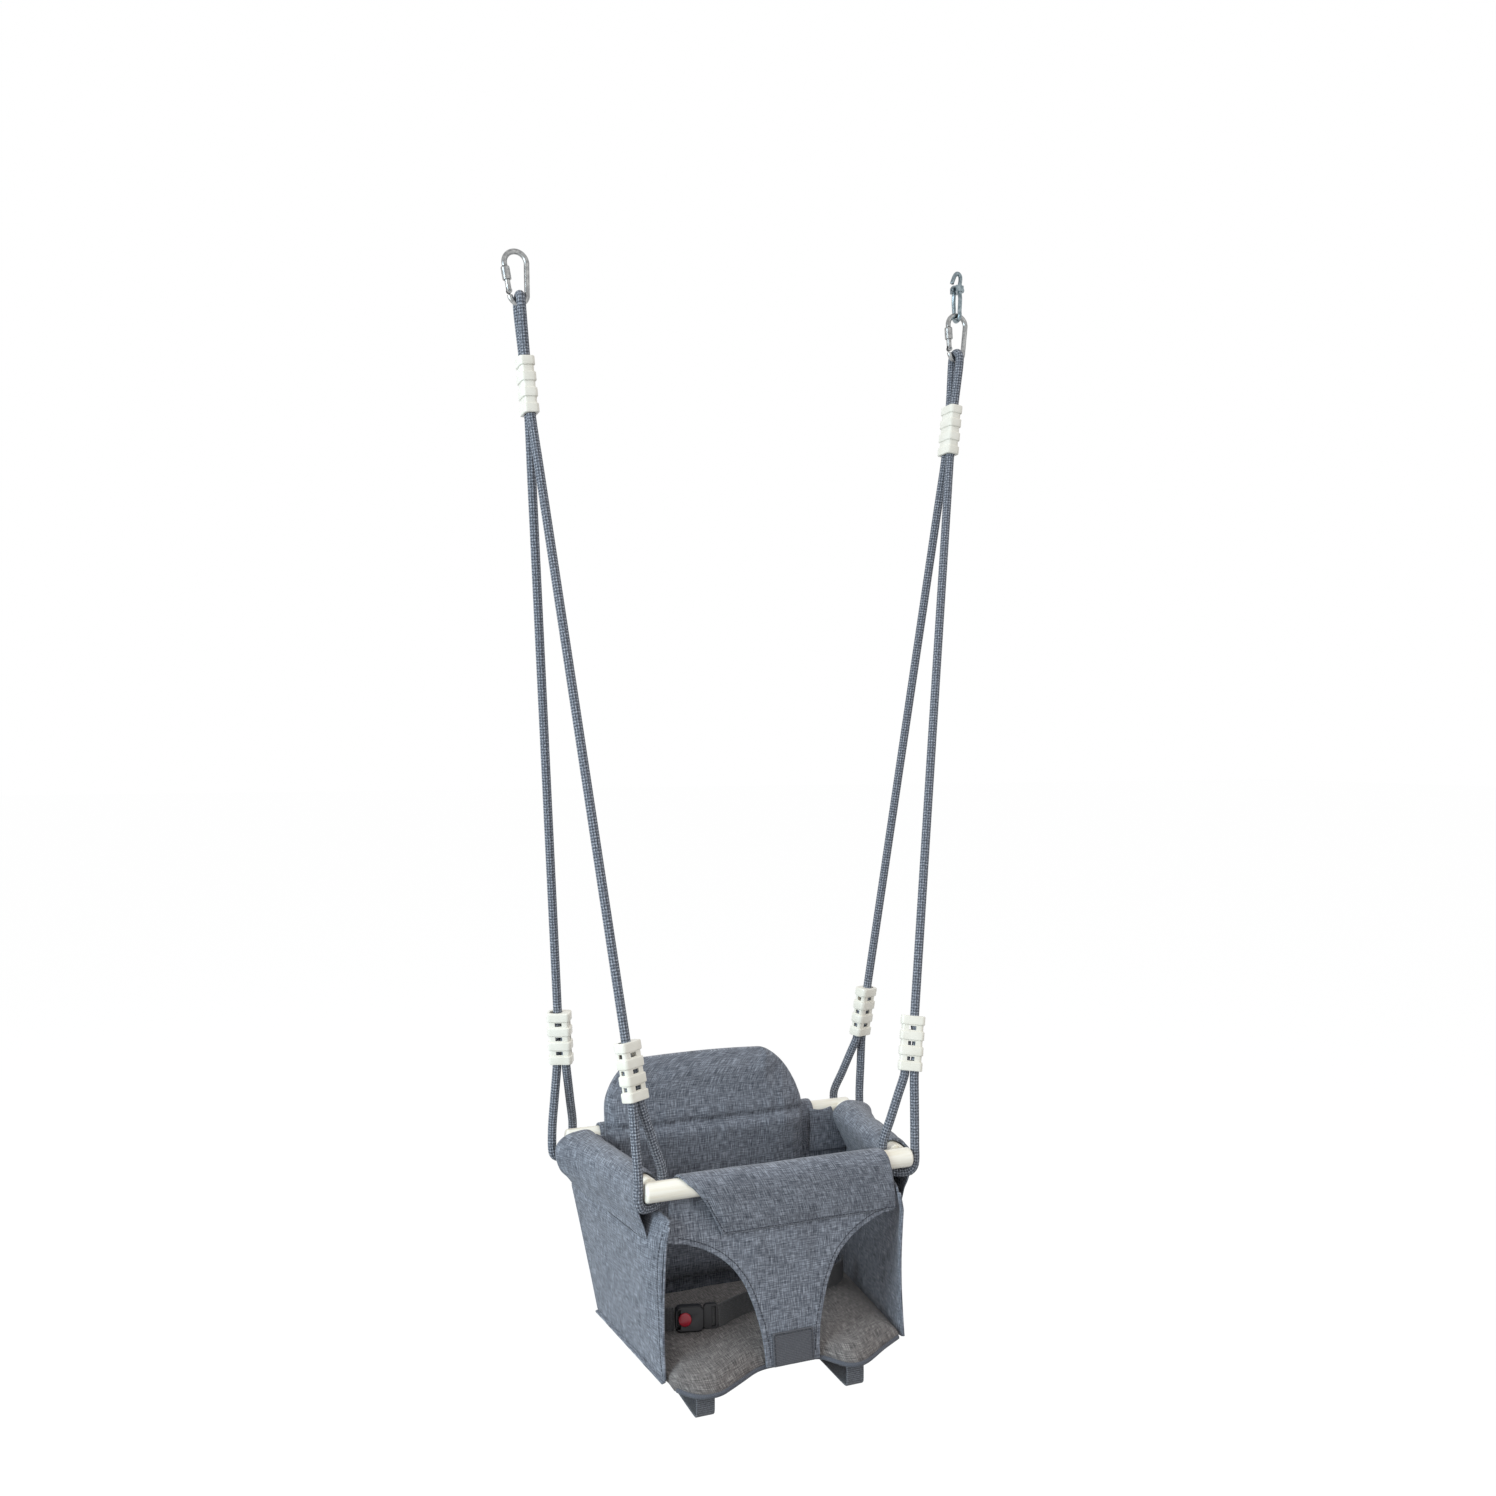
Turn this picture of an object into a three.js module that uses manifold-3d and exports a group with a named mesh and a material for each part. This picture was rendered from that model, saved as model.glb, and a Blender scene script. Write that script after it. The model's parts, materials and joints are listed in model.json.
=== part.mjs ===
// Toddler swing seat: a fabric bucket seat on four wooden rods, hung on two ropes from two
// lockable carabiners, with a lap belt inside and two straps that hold it to a swing board.
// Millimetres, +Z up, +X to the right, front of the seat towards -Y.
// The origin is the hanging point, midway between the tops of the two carabiners.

import * as THREE from 'three';
import { mergeVertices } from 'three/addons/utils/BufferGeometryUtils.js';
import Module from 'manifold-3d';

const wasm = await Module();
wasm.setup();

// Driving dimensions of the whole seat
const hangHeight = 1173;
const hangHalf = 269;
const seatForward = 33;
const seatLeft = 12;
const clearance = 0.3;
const overrun = 5;

// Wooden rods
const rodDiameter = 21;
const rodRadius = rodDiameter / 2;
const rodHeight = 190;
const frontRodLength = 307;
const rearRodLength = 364;
const frontRodY = -79;
const rearRodY = 129;
const rodEdge = 2;
const dowelDiameter = 6;
const dowelLength = 26;
const dowelInCross = 8;

// Rope and its moulded ferrules
const ropeDiameter = 10;
const ropeRadius = ropeDiameter / 2;
const strandGap = 0.6;
const strandOffset = (ropeDiameter + strandGap) / 2;
const strandTopOffset = 1.5;
const slingBend = 12;
const slingGap = { front: 2.5, rear: 6 };
const rearSlingOuterX = 198;
const rearSlingInnerX = 170;
const ferruleLength = 60;
const ferruleWide = 27;
const ferruleThick = 17;
const ferruleCorner = 4;
const ferruleBandShare = 0.165;
const ferruleGrooveDepth = 1.5;
const ferruleBoreGap = 1.3;
const ferruleTailLength = 40;
const ferruleWindowWide = 8;
const ferruleWindowThick = 5;
const ferruleTurn = 26.6;
const frontFerrule = { x: 163, y: -66, z: 312 };
const rearFerrule = { x: 193.5, y: 110, z: 312 };
const upperFerruleDrop = { foot: 118, head: 56.5 };
const upperFerruleInset = { foot: 11.5, head: 5.5 };

// Carabiners
const wireRadius = 3;
const carabinerHeight = 61;
const lowerBowRadius = 9.3;
const upperBowRadius = 12;
const carabinerTilt = { left: -5.6, right: 1.4 };
const hingeAlong = 4.5;
const noseLength = 2.8;
const noseGap = 0.35;
const tongueThick = 2.4;
const forkSlot = 3;
const hingePinRadius = 0.9;
const hingeBoreRadius = 1.25;
const sleeveLength = 14;
const sleeveRadius = 4.8;
const sleeveBoreRadius = 3.5;

// Rope hook over the right carabiner
const hookWireRadius = 2.5;
const hookEyeRadius = 6.6;
const hookBarY = 4.4;
const hookClampRise = 31.5;
const hookTopRise = 53.5;
const hookGrip = 6;
const hookNeck = 13;
const hookSwell = 1.5;
const hookBarX = 1.5;
const hookRiseRoute = [[4, -1.5, 12], [4.6, 0, 17]];
const hookTipRoute = [[2.8, 2.5], [0, 1.9], [-2.9, 5], [-5.2, 10], [-7, 15]];
const clampSize = { x: 10, y: 15.6, z: 7 };
const boltRadius = 1.5;
const boltHeadRadius = 3;
const boltHeadLength = 4;
const boltHeadEdge = 1.2;
const nutRadius = 3.4;
const nutLength = 2.6;

// Fabric bucket
const fabricThick = 3;
const sleeveSlack = 0.6;
const seamGap = 0.6;
const baseFrontY = -93;
const baseRearY = 94;
const baseFrontHalf = 136;
const baseRearHalf = 153;
const sleeveDrop = 51;
const stitchHeight = rodHeight - sleeveDrop;
const bandHalf = baseFrontHalf - fabricThick - clearance;
const crotchHemY = -107;
const crotchHemZ = 2;
const stitchFromRod = { front: 7, rear: 9 };
const frontStitchY = frontRodY - stitchFromRod.front;
const rearStitchY = rearRodY - stitchFromRod.rear;
const rearSleeveLeft = 144;
const rearSleeveRight = 128;
const sideSleeveFrontY = -52;
const sideSleeveRearY = 103;
const notchDrop = 30;
const notchHeight = rodHeight - notchDrop;
const sideStitchOut = 5;
const sideSleeveSlack = 3;
const flareReach = 16;
const flareStartY = 20;

// The front panel's edges, by share of the rise from the stitch line to the top of the rod's sleeve:
// how far its inner layer and its right flap have gone from the band's end to the sleeve's end, and
// how much of the sleeve its left flap leaves bare
const frontSleeveInset = 35.5;
const frontSleeveHalf = frontRodLength / 2 - frontSleeveInset;
const innerEdgeShares = [[0, 0], [0.173, 0.08], [0.377, 0.39], [0.487, 0.46], [0.597, 0.59], [0.708, 0.86], [1.053, 1]];
const rightFlapShares = [[0, 0.12], [0.173, 0.18], [0.377, 0.39], [0.582, 0.46], [0.912, 0.8], [1.053, 1]];
const leftFlapCuts = [[0, 45], [0.126, 42], [0.535, 28], [0.802, 15], [0.896, 8], [1.022, 0]];

// Padded base and backrest
const padThick = 17;
const padCrown = 4;
const padRim = 9;
const baseFrontEdge = [
  [-139, -97], [-128, -113], [-117, -126], [-106, -131], [-90, -131], [-66, -118], [-42, -104], [-30, -101],
  [30, -101], [38, -106], [46, -118], [55, -127], [66, -129], [78, -125], [105, -108], [139, -90],
];
const lobeReach = 36;
const lobeDroop = 3.5;
const backMiddle = -13;
const backHalf = 123;
const backTop = 279;
const backCorners = { left: { wide: 38, tall: 48 }, right: { wide: 54, tall: 80 } };
const backTopArch = 2;
const backThick = 14;
const backCrown = 3;
const backRim = 7;
const backLean = 9;
const backSeamHeight = 201;
const backSeamDepth = 3;
const backSeamWidth = 7;

// Crotch patch
const patchWide = 46;
const patchLow = 3;
const patchHigh = 36;
const patchThick = 1.6;

// Lap belt with its push-button buckle
const beltWide = 25;
const beltThick = 1.6;
const beltRest = 0.4;
const beltEndGap = 0.8;
const beltWallGap = 0.7;
const leftBeltRoute = [[-119, -17], [-128, 0], [-132, 20], [-136, 38]];
const leftBeltEndY = 54;
const rightBeltRoute = [[-33, -27], [-8, -20], [40, -12], [88, 2], [118, 22], [130, 40]];
const buckleX = -89;
const buckleY = -34;
const buckleTurn = -14;
const buckleLean = 8;
const housingLength = 31;
const housingHeight = 26;
const housingThick = 12;
const housingCorner = 5;
const housingEdge = 1.2;
const buttonRadius = 7;
const buttonProud = 1.2;
const buttonDepth = 4;
const buttonTravel = 2.5;
const buttonShift = -5;
const tongueBladeLength = 12;
const tongueBladeHeight = 16;
const tongueBladeThick = 2.4;
const tongueFrameLength = 15;
const slotLength = 4;
const slotHeightMargin = 0.6;

// Straps that hold the seat to a swing board
const strapWide = 20;
const strapThick = 1.8;
const strapX = { left: -101, right: 67 };
const boardThick = 27;
const strapFrontY = -116;
const strapRearY = 98;
const strapTail = 55;
const strapBend = 4;
const sliderLength = 26;
const sliderWide = 27;
const sliderThick = 6;
const sliderBar = 4;
const sliderRail = 3;

// Colours
const fabricColour = 0x70757f;
const ropeColour = 0x62666d;
const woodColour = 0xf3e6cb;
const ivoryColour = 0xe9e2cf;
const steelColour = 0xa9adb2;
const webbingColour = 0x4a4d52;
const blackColour = 0x1b1b1d;
const redColour = 0xb01830;

// Small helpers

const point = (x, y, z) => new THREE.Vector3(x, y, z);
const lerp = THREE.MathUtils.lerp;
const radians = THREE.MathUtils.degToRad;

function tableAt(table, value) {
  const next = table.findIndex((row) => row[0] >= value);
  if (next === 0) return table[0][1];
  if (next < 0) return table[table.length - 1][1];
  const [low, high] = [table[next - 1], table[next]];
  return lerp(low[1], high[1], (value - low[0]) / (high[0] - low[0]));
}

function outward(geometry) {
  const flat = geometry.index ? geometry.toNonIndexed() : geometry.clone();
  for (const name of Object.keys(flat.attributes)) {
    if (name !== 'position') flat.deleteAttribute(name);
  }
  const array = flat.attributes.position.array;
  const [a, b, c] = [point(0, 0, 0), point(0, 0, 0), point(0, 0, 0)];
  let volume = 0;
  for (let i = 0; i < array.length; i += 9) {
    a.fromArray(array, i);
    b.fromArray(array, i + 3);
    c.fromArray(array, i + 6);
    volume += a.dot(b.cross(c));
  }
  if (volume < 0) {
    for (let i = 0; i < array.length; i += 9) {
      for (let k = 0; k < 3; k++) {
        [array[i + 3 + k], array[i + 6 + k]] = [array[i + 6 + k], array[i + 3 + k]];
      }
    }
  }
  return mergeVertices(flat, 1e-4);
}

function solidOf(geometry) {
  const closed = outward(geometry);
  const vertProperties = Float32Array.from(closed.attributes.position.array);
  const triVerts = Uint32Array.from(closed.index.array);
  return new wasm.Manifold(new wasm.Mesh({ numProp: 3, vertProperties, triVerts }));
}

function geometryOf(solid) {
  const mesh = solid.getMesh();
  const geometry = new THREE.BufferGeometry();
  geometry.setAttribute('position', new THREE.Float32BufferAttribute(mesh.vertProperties, 3));
  geometry.setIndex(Array.from(mesh.triVerts));
  return geometry;
}

function join(first, ...others) {
  return geometryOf(others.reduce((solid, other) => solid.add(solidOf(other)), solidOf(first)));
}

function cut(first, ...others) {
  return geometryOf(others.reduce((solid, other) => solid.subtract(solidOf(other)), solidOf(first)));
}

function box(x, y, z, centre = point(0, 0, 0)) {
  return new THREE.BoxGeometry(x, y, z).translate(centre.x, centre.y, centre.z);
}

// A cylinder with eased edges, along +Y from -length / 2 to length / 2
function easedCylinder(radius, length, edge, sides = 16) {
  const half = length / 2;
  const quarter = edge * (1 - Math.SQRT1_2);
  const profile = [
    new THREE.Vector2(0, -half),
    new THREE.Vector2(radius - edge, -half),
    new THREE.Vector2(radius - quarter, -half + quarter),
    new THREE.Vector2(radius, -half + edge),
    new THREE.Vector2(radius, half - edge),
    new THREE.Vector2(radius - quarter, half - quarter),
    new THREE.Vector2(radius - edge, half),
    new THREE.Vector2(0, half),
  ];
  return new THREE.LatheGeometry(profile, sides);
}

function cylinderAlong(axis, radius, length, centre = point(0, 0, 0), sides = 16) {
  const geometry = new THREE.CylinderGeometry(radius, radius, length, sides);
  const turn = new THREE.Quaternion().setFromUnitVectors(point(0, 1, 0), axis.clone().normalize());
  return geometry.applyQuaternion(turn).translate(centre.x, centre.y, centre.z);
}

function roundedShape(width, height, corner, steps = 3) {
  const [halfWidth, halfHeight] = [width / 2 - corner, height / 2 - corner];
  const outline = [];
  for (const [signX, signY, start] of [[1, 1, 0], [-1, 1, 90], [-1, -1, 180], [1, -1, 270]]) {
    for (let step = 0; step <= steps; step++) {
      const angle = radians(start + (90 * step) / steps);
      outline.push(new THREE.Vector2(
        signX * halfWidth + corner * Math.cos(angle),
        signY * halfHeight + corner * Math.sin(angle),
      ));
    }
  }
  return new THREE.Shape(outline);
}

function extruded(shape, depth, low = 0) {
  return new THREE.ExtrudeGeometry(shape, { depth, bevelEnabled: false }).translate(0, 0, low);
}

// A curve whose steps fall on its own points, so bends are fine and straight runs are not
class KnotCurve extends THREE.CatmullRomCurve3 {
  getUtoTmapping(u) {
    return u;
  }
}

function tube(points, radius, sides) {
  const outline = [];
  for (let side = 0; side < sides; side++) {
    const angle = (side * 2 * Math.PI) / sides;
    outline.push(new THREE.Vector2(radius * Math.cos(angle), radius * Math.sin(angle)));
  }
  const extrudePath = new KnotCurve(points, false, 'centripetal');
  return new THREE.ExtrudeGeometry(new THREE.Shape(outline), { steps: points.length - 1, extrudePath });
}

// A closed slab between a front and a back surface, each a grid of points
function slab(front, back, columns, rows) {
  const position = [];
  for (const face of [front, back]) {
    for (let row = 0; row <= rows; row++) {
      for (let column = 0; column <= columns; column++) {
        position.push(...face(column, row).toArray());
      }
    }
  }
  const across = columns + 1;
  const half = across * (rows + 1);
  const index = [];
  const quad = (a, b, c, d) => index.push(a, b, c, a, c, d);
  for (let row = 0; row < rows; row++) {
    for (let column = 0; column < columns; column++) {
      const a = row * across + column;
      quad(a, a + 1, a + 1 + across, a + across);
      quad(half + a, half + a + across, half + a + across + 1, half + a + 1);
    }
    const left = row * across;
    const right = left + columns;
    quad(left, left + across, half + left + across, half + left);
    quad(right + across, right, half + right, half + right + across);
  }
  for (let column = 0; column < columns; column++) {
    const low = column;
    const high = rows * across + column;
    quad(low + 1, low, half + low, half + low + 1);
    quad(high, high + 1, half + high + 1, half + high);
  }
  const geometry = new THREE.BufferGeometry();
  geometry.setAttribute('position', new THREE.Float32BufferAttribute(position, 3));
  geometry.setIndex(index);
  return geometry;
}

// A sheet of even thickness about a grid of centre points
function sheet(place, columns, rows, thickness) {
  const grid = [];
  for (let row = 0; row <= rows; row++) {
    grid.push([]);
    for (let column = 0; column <= columns; column++) grid[row].push(place(column, row));
  }
  const offset = (column, row, distance) => {
    const east = grid[row][Math.min(column + 1, columns)].clone().sub(grid[row][Math.max(column - 1, 0)]);
    const north = grid[Math.min(row + 1, rows)][column].clone().sub(grid[Math.max(row - 1, 0)][column]);
    return grid[row][column].clone().addScaledVector(east.cross(north).normalize(), distance);
  };
  return slab(
    (column, row) => offset(column, row, thickness / 2),
    (column, row) => offset(column, row, -thickness / 2),
    columns,
    rows,
  );
}

// A flat strap along a path, with the direction of its width at each point
function ribbon(path, widths, width, thickness) {
  return sheet(
    (column, row) => path[row].clone().addScaledVector(widths[row], (column - 0.5) * width),
    1,
    path.length - 1,
    thickness,
  );
}

const part = new THREE.Group();
const seat = new THREE.Group();
seat.position.set(-seatLeft, -seatForward, -hangHeight);
part.add(seat);

function add(group, name, geometry, colour, roughness = 0.9, metalness = 0) {
  const material = new THREE.MeshStandardMaterial({ color: colour, roughness, metalness });
  const mesh = new THREE.Mesh(outward(geometry), material);
  mesh.name = name;
  group.add(mesh);
  return mesh;
}

const sides = [['left', -1], ['right', 1]];

// Rods and dowels

const sideRodFrontX = frontRodLength / 2 - rodRadius;
const sideRodRearX = rearRodLength / 2 - rodRadius;
const sideRodLean = Math.atan2(sideRodRearX - sideRodFrontX, rearRodY - frontRodY);
const sideRodAxis = (side) => point(side * Math.sin(sideRodLean), Math.cos(sideRodLean), 0);
const sideRodX = (y) => lerp(sideRodFrontX, sideRodRearX, (y - frontRodY) / (rearRodY - frontRodY));
const sideRodSetback = (rodRadius + clearance + rodRadius * Math.sin(sideRodLean)) / Math.cos(sideRodLean);

function dowelSeat(side, y, inward) {
  const axis = sideRodAxis(side).multiplyScalar(inward);
  const face = point(side * sideRodX(y), y, rodHeight).addScaledVector(axis, sideRodSetback);
  return { axis, centre: face.addScaledVector(axis, dowelLength / 2 - dowelInCross) };
}

function dowelBore(side, y, inward) {
  const { axis, centre } = dowelSeat(side, y, inward);
  return cylinderAlong(axis, dowelDiameter / 2 + clearance, dowelLength + 2 * clearance, centre, 12);
}

function crossRod(length, y, inward) {
  const rod = easedCylinder(rodRadius, length, rodEdge).rotateZ(Math.PI / 2).translate(0, y, rodHeight);
  return cut(rod, dowelBore(-1, y, inward), dowelBore(1, y, inward));
}

function sideRod(side) {
  const axis = sideRodAxis(side);
  const start = point(side * sideRodFrontX, frontRodY, rodHeight);
  const end = point(side * sideRodRearX, rearRodY, rodHeight);
  const length = start.distanceTo(end) - 2 * sideRodSetback;
  const turn = new THREE.Quaternion().setFromUnitVectors(point(0, 1, 0), axis);
  const centre = start.add(end).multiplyScalar(0.5);
  const rod = easedCylinder(rodRadius, length, rodEdge / 2)
    .applyQuaternion(turn)
    .translate(centre.x, centre.y, centre.z);
  return cut(rod, dowelBore(side, frontRodY, 1), dowelBore(side, rearRodY, -1));
}

add(seat, 'front_rod', crossRod(frontRodLength, frontRodY, 1), woodColour, 0.55);
add(seat, 'rear_rod', crossRod(rearRodLength, rearRodY, -1), woodColour, 0.55);
for (const [name, side] of sides) {
  add(seat, `${name}_rod`, sideRod(side), woodColour, 0.55);
  for (const [end, y, inward] of [['front', frontRodY, 1], ['rear', rearRodY, -1]]) {
    const { axis, centre } = dowelSeat(side, y, inward);
    const dowel = cylinderAlong(axis, dowelDiameter / 2, dowelLength, centre, 12);
    add(seat, `dowel_${end}_${name}`, dowel, woodColour, 0.7);
  }
}

// Carabiners: a bent wire frame, a hinged gate on its pin and a lock sleeve on the gate

const bowDistance = carabinerHeight - 2 * wireRadius - lowerBowRadius - upperBowRadius;
const gateLean = Math.asin((upperBowRadius - lowerBowRadius) / bowDistance);
const gateLength = bowDistance * Math.cos(gateLean) - noseLength - noseGap;
const leftLow = point(
  -lowerBowRadius * Math.cos(gateLean),
  0,
  lowerBowRadius - lowerBowRadius * Math.sin(gateLean),
);
const hangWireZ = hangHeight - carabinerHeight + wireRadius;

function arc(centreZ, radius, fromAngle, toAngle, steps) {
  const points = [];
  for (let step = 0; step <= steps; step++) {
    const angle = lerp(fromAngle, toAngle, step / steps);
    points.push(point(radius * Math.cos(angle), 0, centreZ + radius * Math.sin(angle)));
  }
  return points;
}

// Places a piece that stands on the gate's line, which leans out from the lower bow to the nose
function onGateLine(geometry, along = 0) {
  return geometry.translate(0, 0, along).rotateY(-gateLean).translate(leftLow.x, leftLow.y, leftLow.z);
}

function carabinerFrame() {
  const upperZ = lowerBowRadius + bowDistance;
  const upperLeft = point(-upperBowRadius * Math.cos(gateLean), 0, upperZ - upperBowRadius * Math.sin(gateLean));
  const nose = upperLeft.clone().lerp(leftLow, noseLength / upperLeft.distanceTo(leftLow));
  const wire = tube(
    [
      ...arc(lowerBowRadius, lowerBowRadius, Math.PI + gateLean, 2 * Math.PI - gateLean, 8),
      ...arc(upperZ, upperBowRadius, -gateLean, Math.PI + gateLean, 9),
      nose,
    ],
    wireRadius,
    10,
  );
  const wide = 2 * wireRadius - rodEdge / 4;
  const tongue = onGateLine(box(wide, tongueThick, hingeAlong + 1, point(0, 0, (hingeAlong - 1) / 2)));
  const across = point(0, 1, 0);
  const eye = onGateLine(cylinderAlong(across, wide / 2, tongueThick, point(0, 0, 0), 12), hingeAlong);
  const bore = onGateLine(cylinderAlong(across, hingeBoreRadius, 2 * wireRadius, point(0, 0, 0), 10), hingeAlong);
  return cut(join(wire, tongue, eye), bore);
}

function carabinerGate() {
  const length = gateLength - hingeAlong;
  const bar = cylinderAlong(point(0, 0, 1), wireRadius, length, point(0, 0, length / 2), 12);
  const knuckle = cylinderAlong(point(0, 1, 0), wireRadius, 2 * wireRadius - 1, point(0, 0, 0), 12);
  const slot = box(4 * wireRadius, forkSlot, 2 * wireRadius + 0.6, point(0, 0, 0));
  const bore = cylinderAlong(point(0, 1, 0), hingeBoreRadius, 4 * wireRadius, point(0, 0, 0), 10);
  return cut(join(bar, knuckle), slot, bore);
}

function lockSleeve() {
  const profile = [
    new THREE.Vector2(sleeveBoreRadius, 0),
    new THREE.Vector2(sleeveRadius - 0.5, 0),
    new THREE.Vector2(sleeveRadius, 0.5),
    new THREE.Vector2(sleeveRadius, sleeveLength - 0.5),
    new THREE.Vector2(sleeveRadius - 0.5, sleeveLength),
    new THREE.Vector2(sleeveBoreRadius, sleeveLength),
    new THREE.Vector2(sleeveBoreRadius, 0),
  ];
  return new THREE.LatheGeometry(profile, 16).rotateX(Math.PI / 2);
}

for (const [name, side] of sides) {
  const carabiner = new THREE.Group();
  carabiner.position.set(side * hangHalf, 0, hangWireZ - hangHeight);
  carabiner.rotation.y = radians(carabinerTilt[name]);
  part.add(carabiner);
  add(carabiner, `carabiner_frame_${name}`, carabinerFrame(), steelColour, 0.35, 1);
  const line = new THREE.Group();
  line.position.copy(leftLow);
  line.rotation.y = -gateLean;
  carabiner.add(line);
  const gate = add(line, `carabiner_gate_${name}`, carabinerGate(), steelColour, 0.35, 1);
  gate.position.z = hingeAlong;
  const pin = cylinderAlong(point(0, 1, 0), hingePinRadius, 2 * wireRadius - 1, point(0, 0, 0), 10);
  const pinMesh = add(line, `gate_pin_${name}`, pin, steelColour, 0.4, 1);
  pinMesh.position.z = hingeAlong;
  const sleeve = add(line, `lock_sleeve_${name}`, lockSleeve(), steelColour, 0.4, 1);
  sleeve.position.z = gateLength - sleeveLength - clearance;
}

// Rope hook: a bent wire that holds the right carabiner, with a bolted clamp on its two bars

const hook = new THREE.Group();
const hookFoot = carabinerHeight - 2 * wireRadius;
hook.position.set(
  hangHalf + hookFoot * Math.sin(radians(carabinerTilt.right)),
  0,
  hangWireZ - hangHeight + hookFoot * Math.cos(radians(carabinerTilt.right)),
);
part.add(hook);

function hookWire() {
  const eye = [];
  for (let step = 0; step <= 8; step++) {
    const angle = radians(lerp(-20, 200, step / 8));
    eye.push(point(0, hookEyeRadius * Math.cos(angle), -hookEyeRadius * Math.sin(angle)));
  }
  const bar = (sign) => [
    point(sign * hookBarX, -sign * hookBarY, hookClampRise + hookGrip),
    point(sign * hookBarX, -sign * hookBarY, hookClampRise),
    point(sign * hookBarX, -sign * hookBarY, hookClampRise - hookGrip),
    point((sign * 2 * hookBarX) / 3, -sign * (hookBarY + hookSwell), hookClampRise - hookNeck),
  ];
  return tube(
    [
      ...bar(-1),
      ...eye,
      ...bar(1).reverse(),
      ...hookRiseRoute.map(([x, y, z]) => point(x, y, hookClampRise + z)),
      ...hookTipRoute.map(([x, drop]) => point(x, 0, hookTopRise - drop)),
    ],
    hookWireRadius,
    8,
  );
}

function hookClamp() {
  const block = box(clampSize.x, clampSize.y, clampSize.z);
  const bore = (x, y) => cylinderAlong(point(0, 0, 1), hookWireRadius + clearance, 2 * clampSize.z, point(x, y, 0), 12);
  const boltBore = cylinderAlong(point(1, 0, 0), boltRadius + clearance, 2 * clampSize.x, point(0, 0, 0), 10);
  return cut(block, bore(-hookBarX, hookBarY), bore(hookBarX, -hookBarY), boltBore);
}

add(hook, 'rope_hook', hookWire(), steelColour, 0.4, 1);

// Moulded ferrules on the rope

function ferruleBody(openTop) {
  const band = ferruleLength * ferruleBandShare;
  const groove = (ferruleLength - 4 * band) / 3;
  const outer = roundedShape(ferruleWide, ferruleThick, ferruleCorner, 1);
  const inner = roundedShape(
    ferruleWide - 2 * ferruleGrooveDepth,
    ferruleThick - 2 * ferruleGrooveDepth,
    ferruleCorner,
    1,
  );
  const low = -ferruleLength / 2;
  const bodies = [extruded(inner, ferruleLength - band, low + band / 2)];
  const cuts = [];
  for (let step = 0; step < 4; step++) {
    const start = low + step * (band + groove);
    bodies.push(extruded(outer, band, start));
    if (step < 3) {
      const middle = start + band + groove / 2;
      cuts.push(box(ferruleWindowWide, 2 * ferruleThick, groove * 0.6, point(0, 0, middle)));
      cuts.push(box(2 * ferruleWide, ferruleWindowThick, groove * 0.6, point(0, 0, middle)));
    }
  }
  const boreHeight = ropeDiameter + ferruleBoreGap;
  const boreShape = roundedShape(2 * strandOffset + boreHeight, boreHeight, boreHeight / 2 - 0.01, 2);
  if (openTop) {
    cuts.push(extruded(boreShape, ferruleLength + 2 * overrun, low - overrun));
  } else {
    cuts.push(extruded(boreShape, ferruleTailLength + clearance + overrun, low - overrun));
    const upperWide = boreHeight + strandOffset - strandTopOffset;
    const upperBore = roundedShape(upperWide, boreHeight, boreHeight / 2 - 0.01, 2);
    cuts.push(extruded(upperBore, ferruleLength + 2 * overrun, low - overrun)
      .translate(-(strandOffset + strandTopOffset) / 2, 0, 0));
  }
  return cut(join(...bodies), ...cuts);
}

function ferrulePlace(centre, axis, wide) {
  const across = wide.clone().addScaledVector(axis, -wide.dot(axis)).normalize();
  const thick = axis.clone().cross(across);
  const matrix = new THREE.Matrix4().makeBasis(across, thick, axis).setPosition(centre);
  const at = (offset, along) => centre.clone().addScaledVector(across, offset).addScaledVector(axis, along);
  return { matrix, at };
}

// Everything that the rope of one side passes
function ropeStations(side) {
  const upperEnd = (end) => point(
    side * (hangHalf - upperFerruleInset[end]) + seatLeft,
    seatForward,
    hangWireZ - upperFerruleDrop[end],
  );
  const [low, high] = [upperEnd('foot'), upperEnd('head')];
  const upperAxis = high.clone().sub(low).normalize();
  const upper = ferrulePlace(low.clone().add(high).multiplyScalar(0.5), upperAxis, point(0, 1, 0));
  const behindRod = rodRadius + ropeRadius + strandGap;
  const corner = (outerX, innerX, rodY, inward, gap, ferrule) => {
    const outer = point(side * outerX, rodY, rodHeight);
    const inner = point(side * innerX, rodY + behindRod, rodHeight);
    const across = inner.clone().sub(outer).normalize();
    const centre = point(side * ferrule.x, ferrule.y, ferrule.z);
    const turn = radians(ferruleTurn);
    const wide = point(-side * Math.cos(turn), inward * Math.sin(turn), 0);
    const legFoot = upper.at(-inward * strandOffset, -ferruleLength / 2);
    const axis = legFoot.clone().sub(centre.clone().addScaledVector(wide, -strandTopOffset)).normalize();
    return { outer, inner, across, legFoot, gap, ferrule: ferrulePlace(centre, axis, wide) };
  };
  const frontOuterX = frontRodLength / 2 + clearance + ropeRadius + 1;
  const frontInnerX = sideRodX(frontRodY + behindRod) - rodRadius / Math.cos(sideRodLean) - ropeRadius - strandGap;
  return {
    upper,
    front: corner(frontOuterX, frontInnerX, frontRodY, 1, slingGap.front, frontFerrule),
    rear: corner(rearSlingOuterX, rearSlingInnerX, rearRodY, -1, slingGap.rear, rearFerrule),
  };
}

const halfFerrule = ferruleLength / 2;
const outOfFerrule = halfFerrule + 4;

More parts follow.
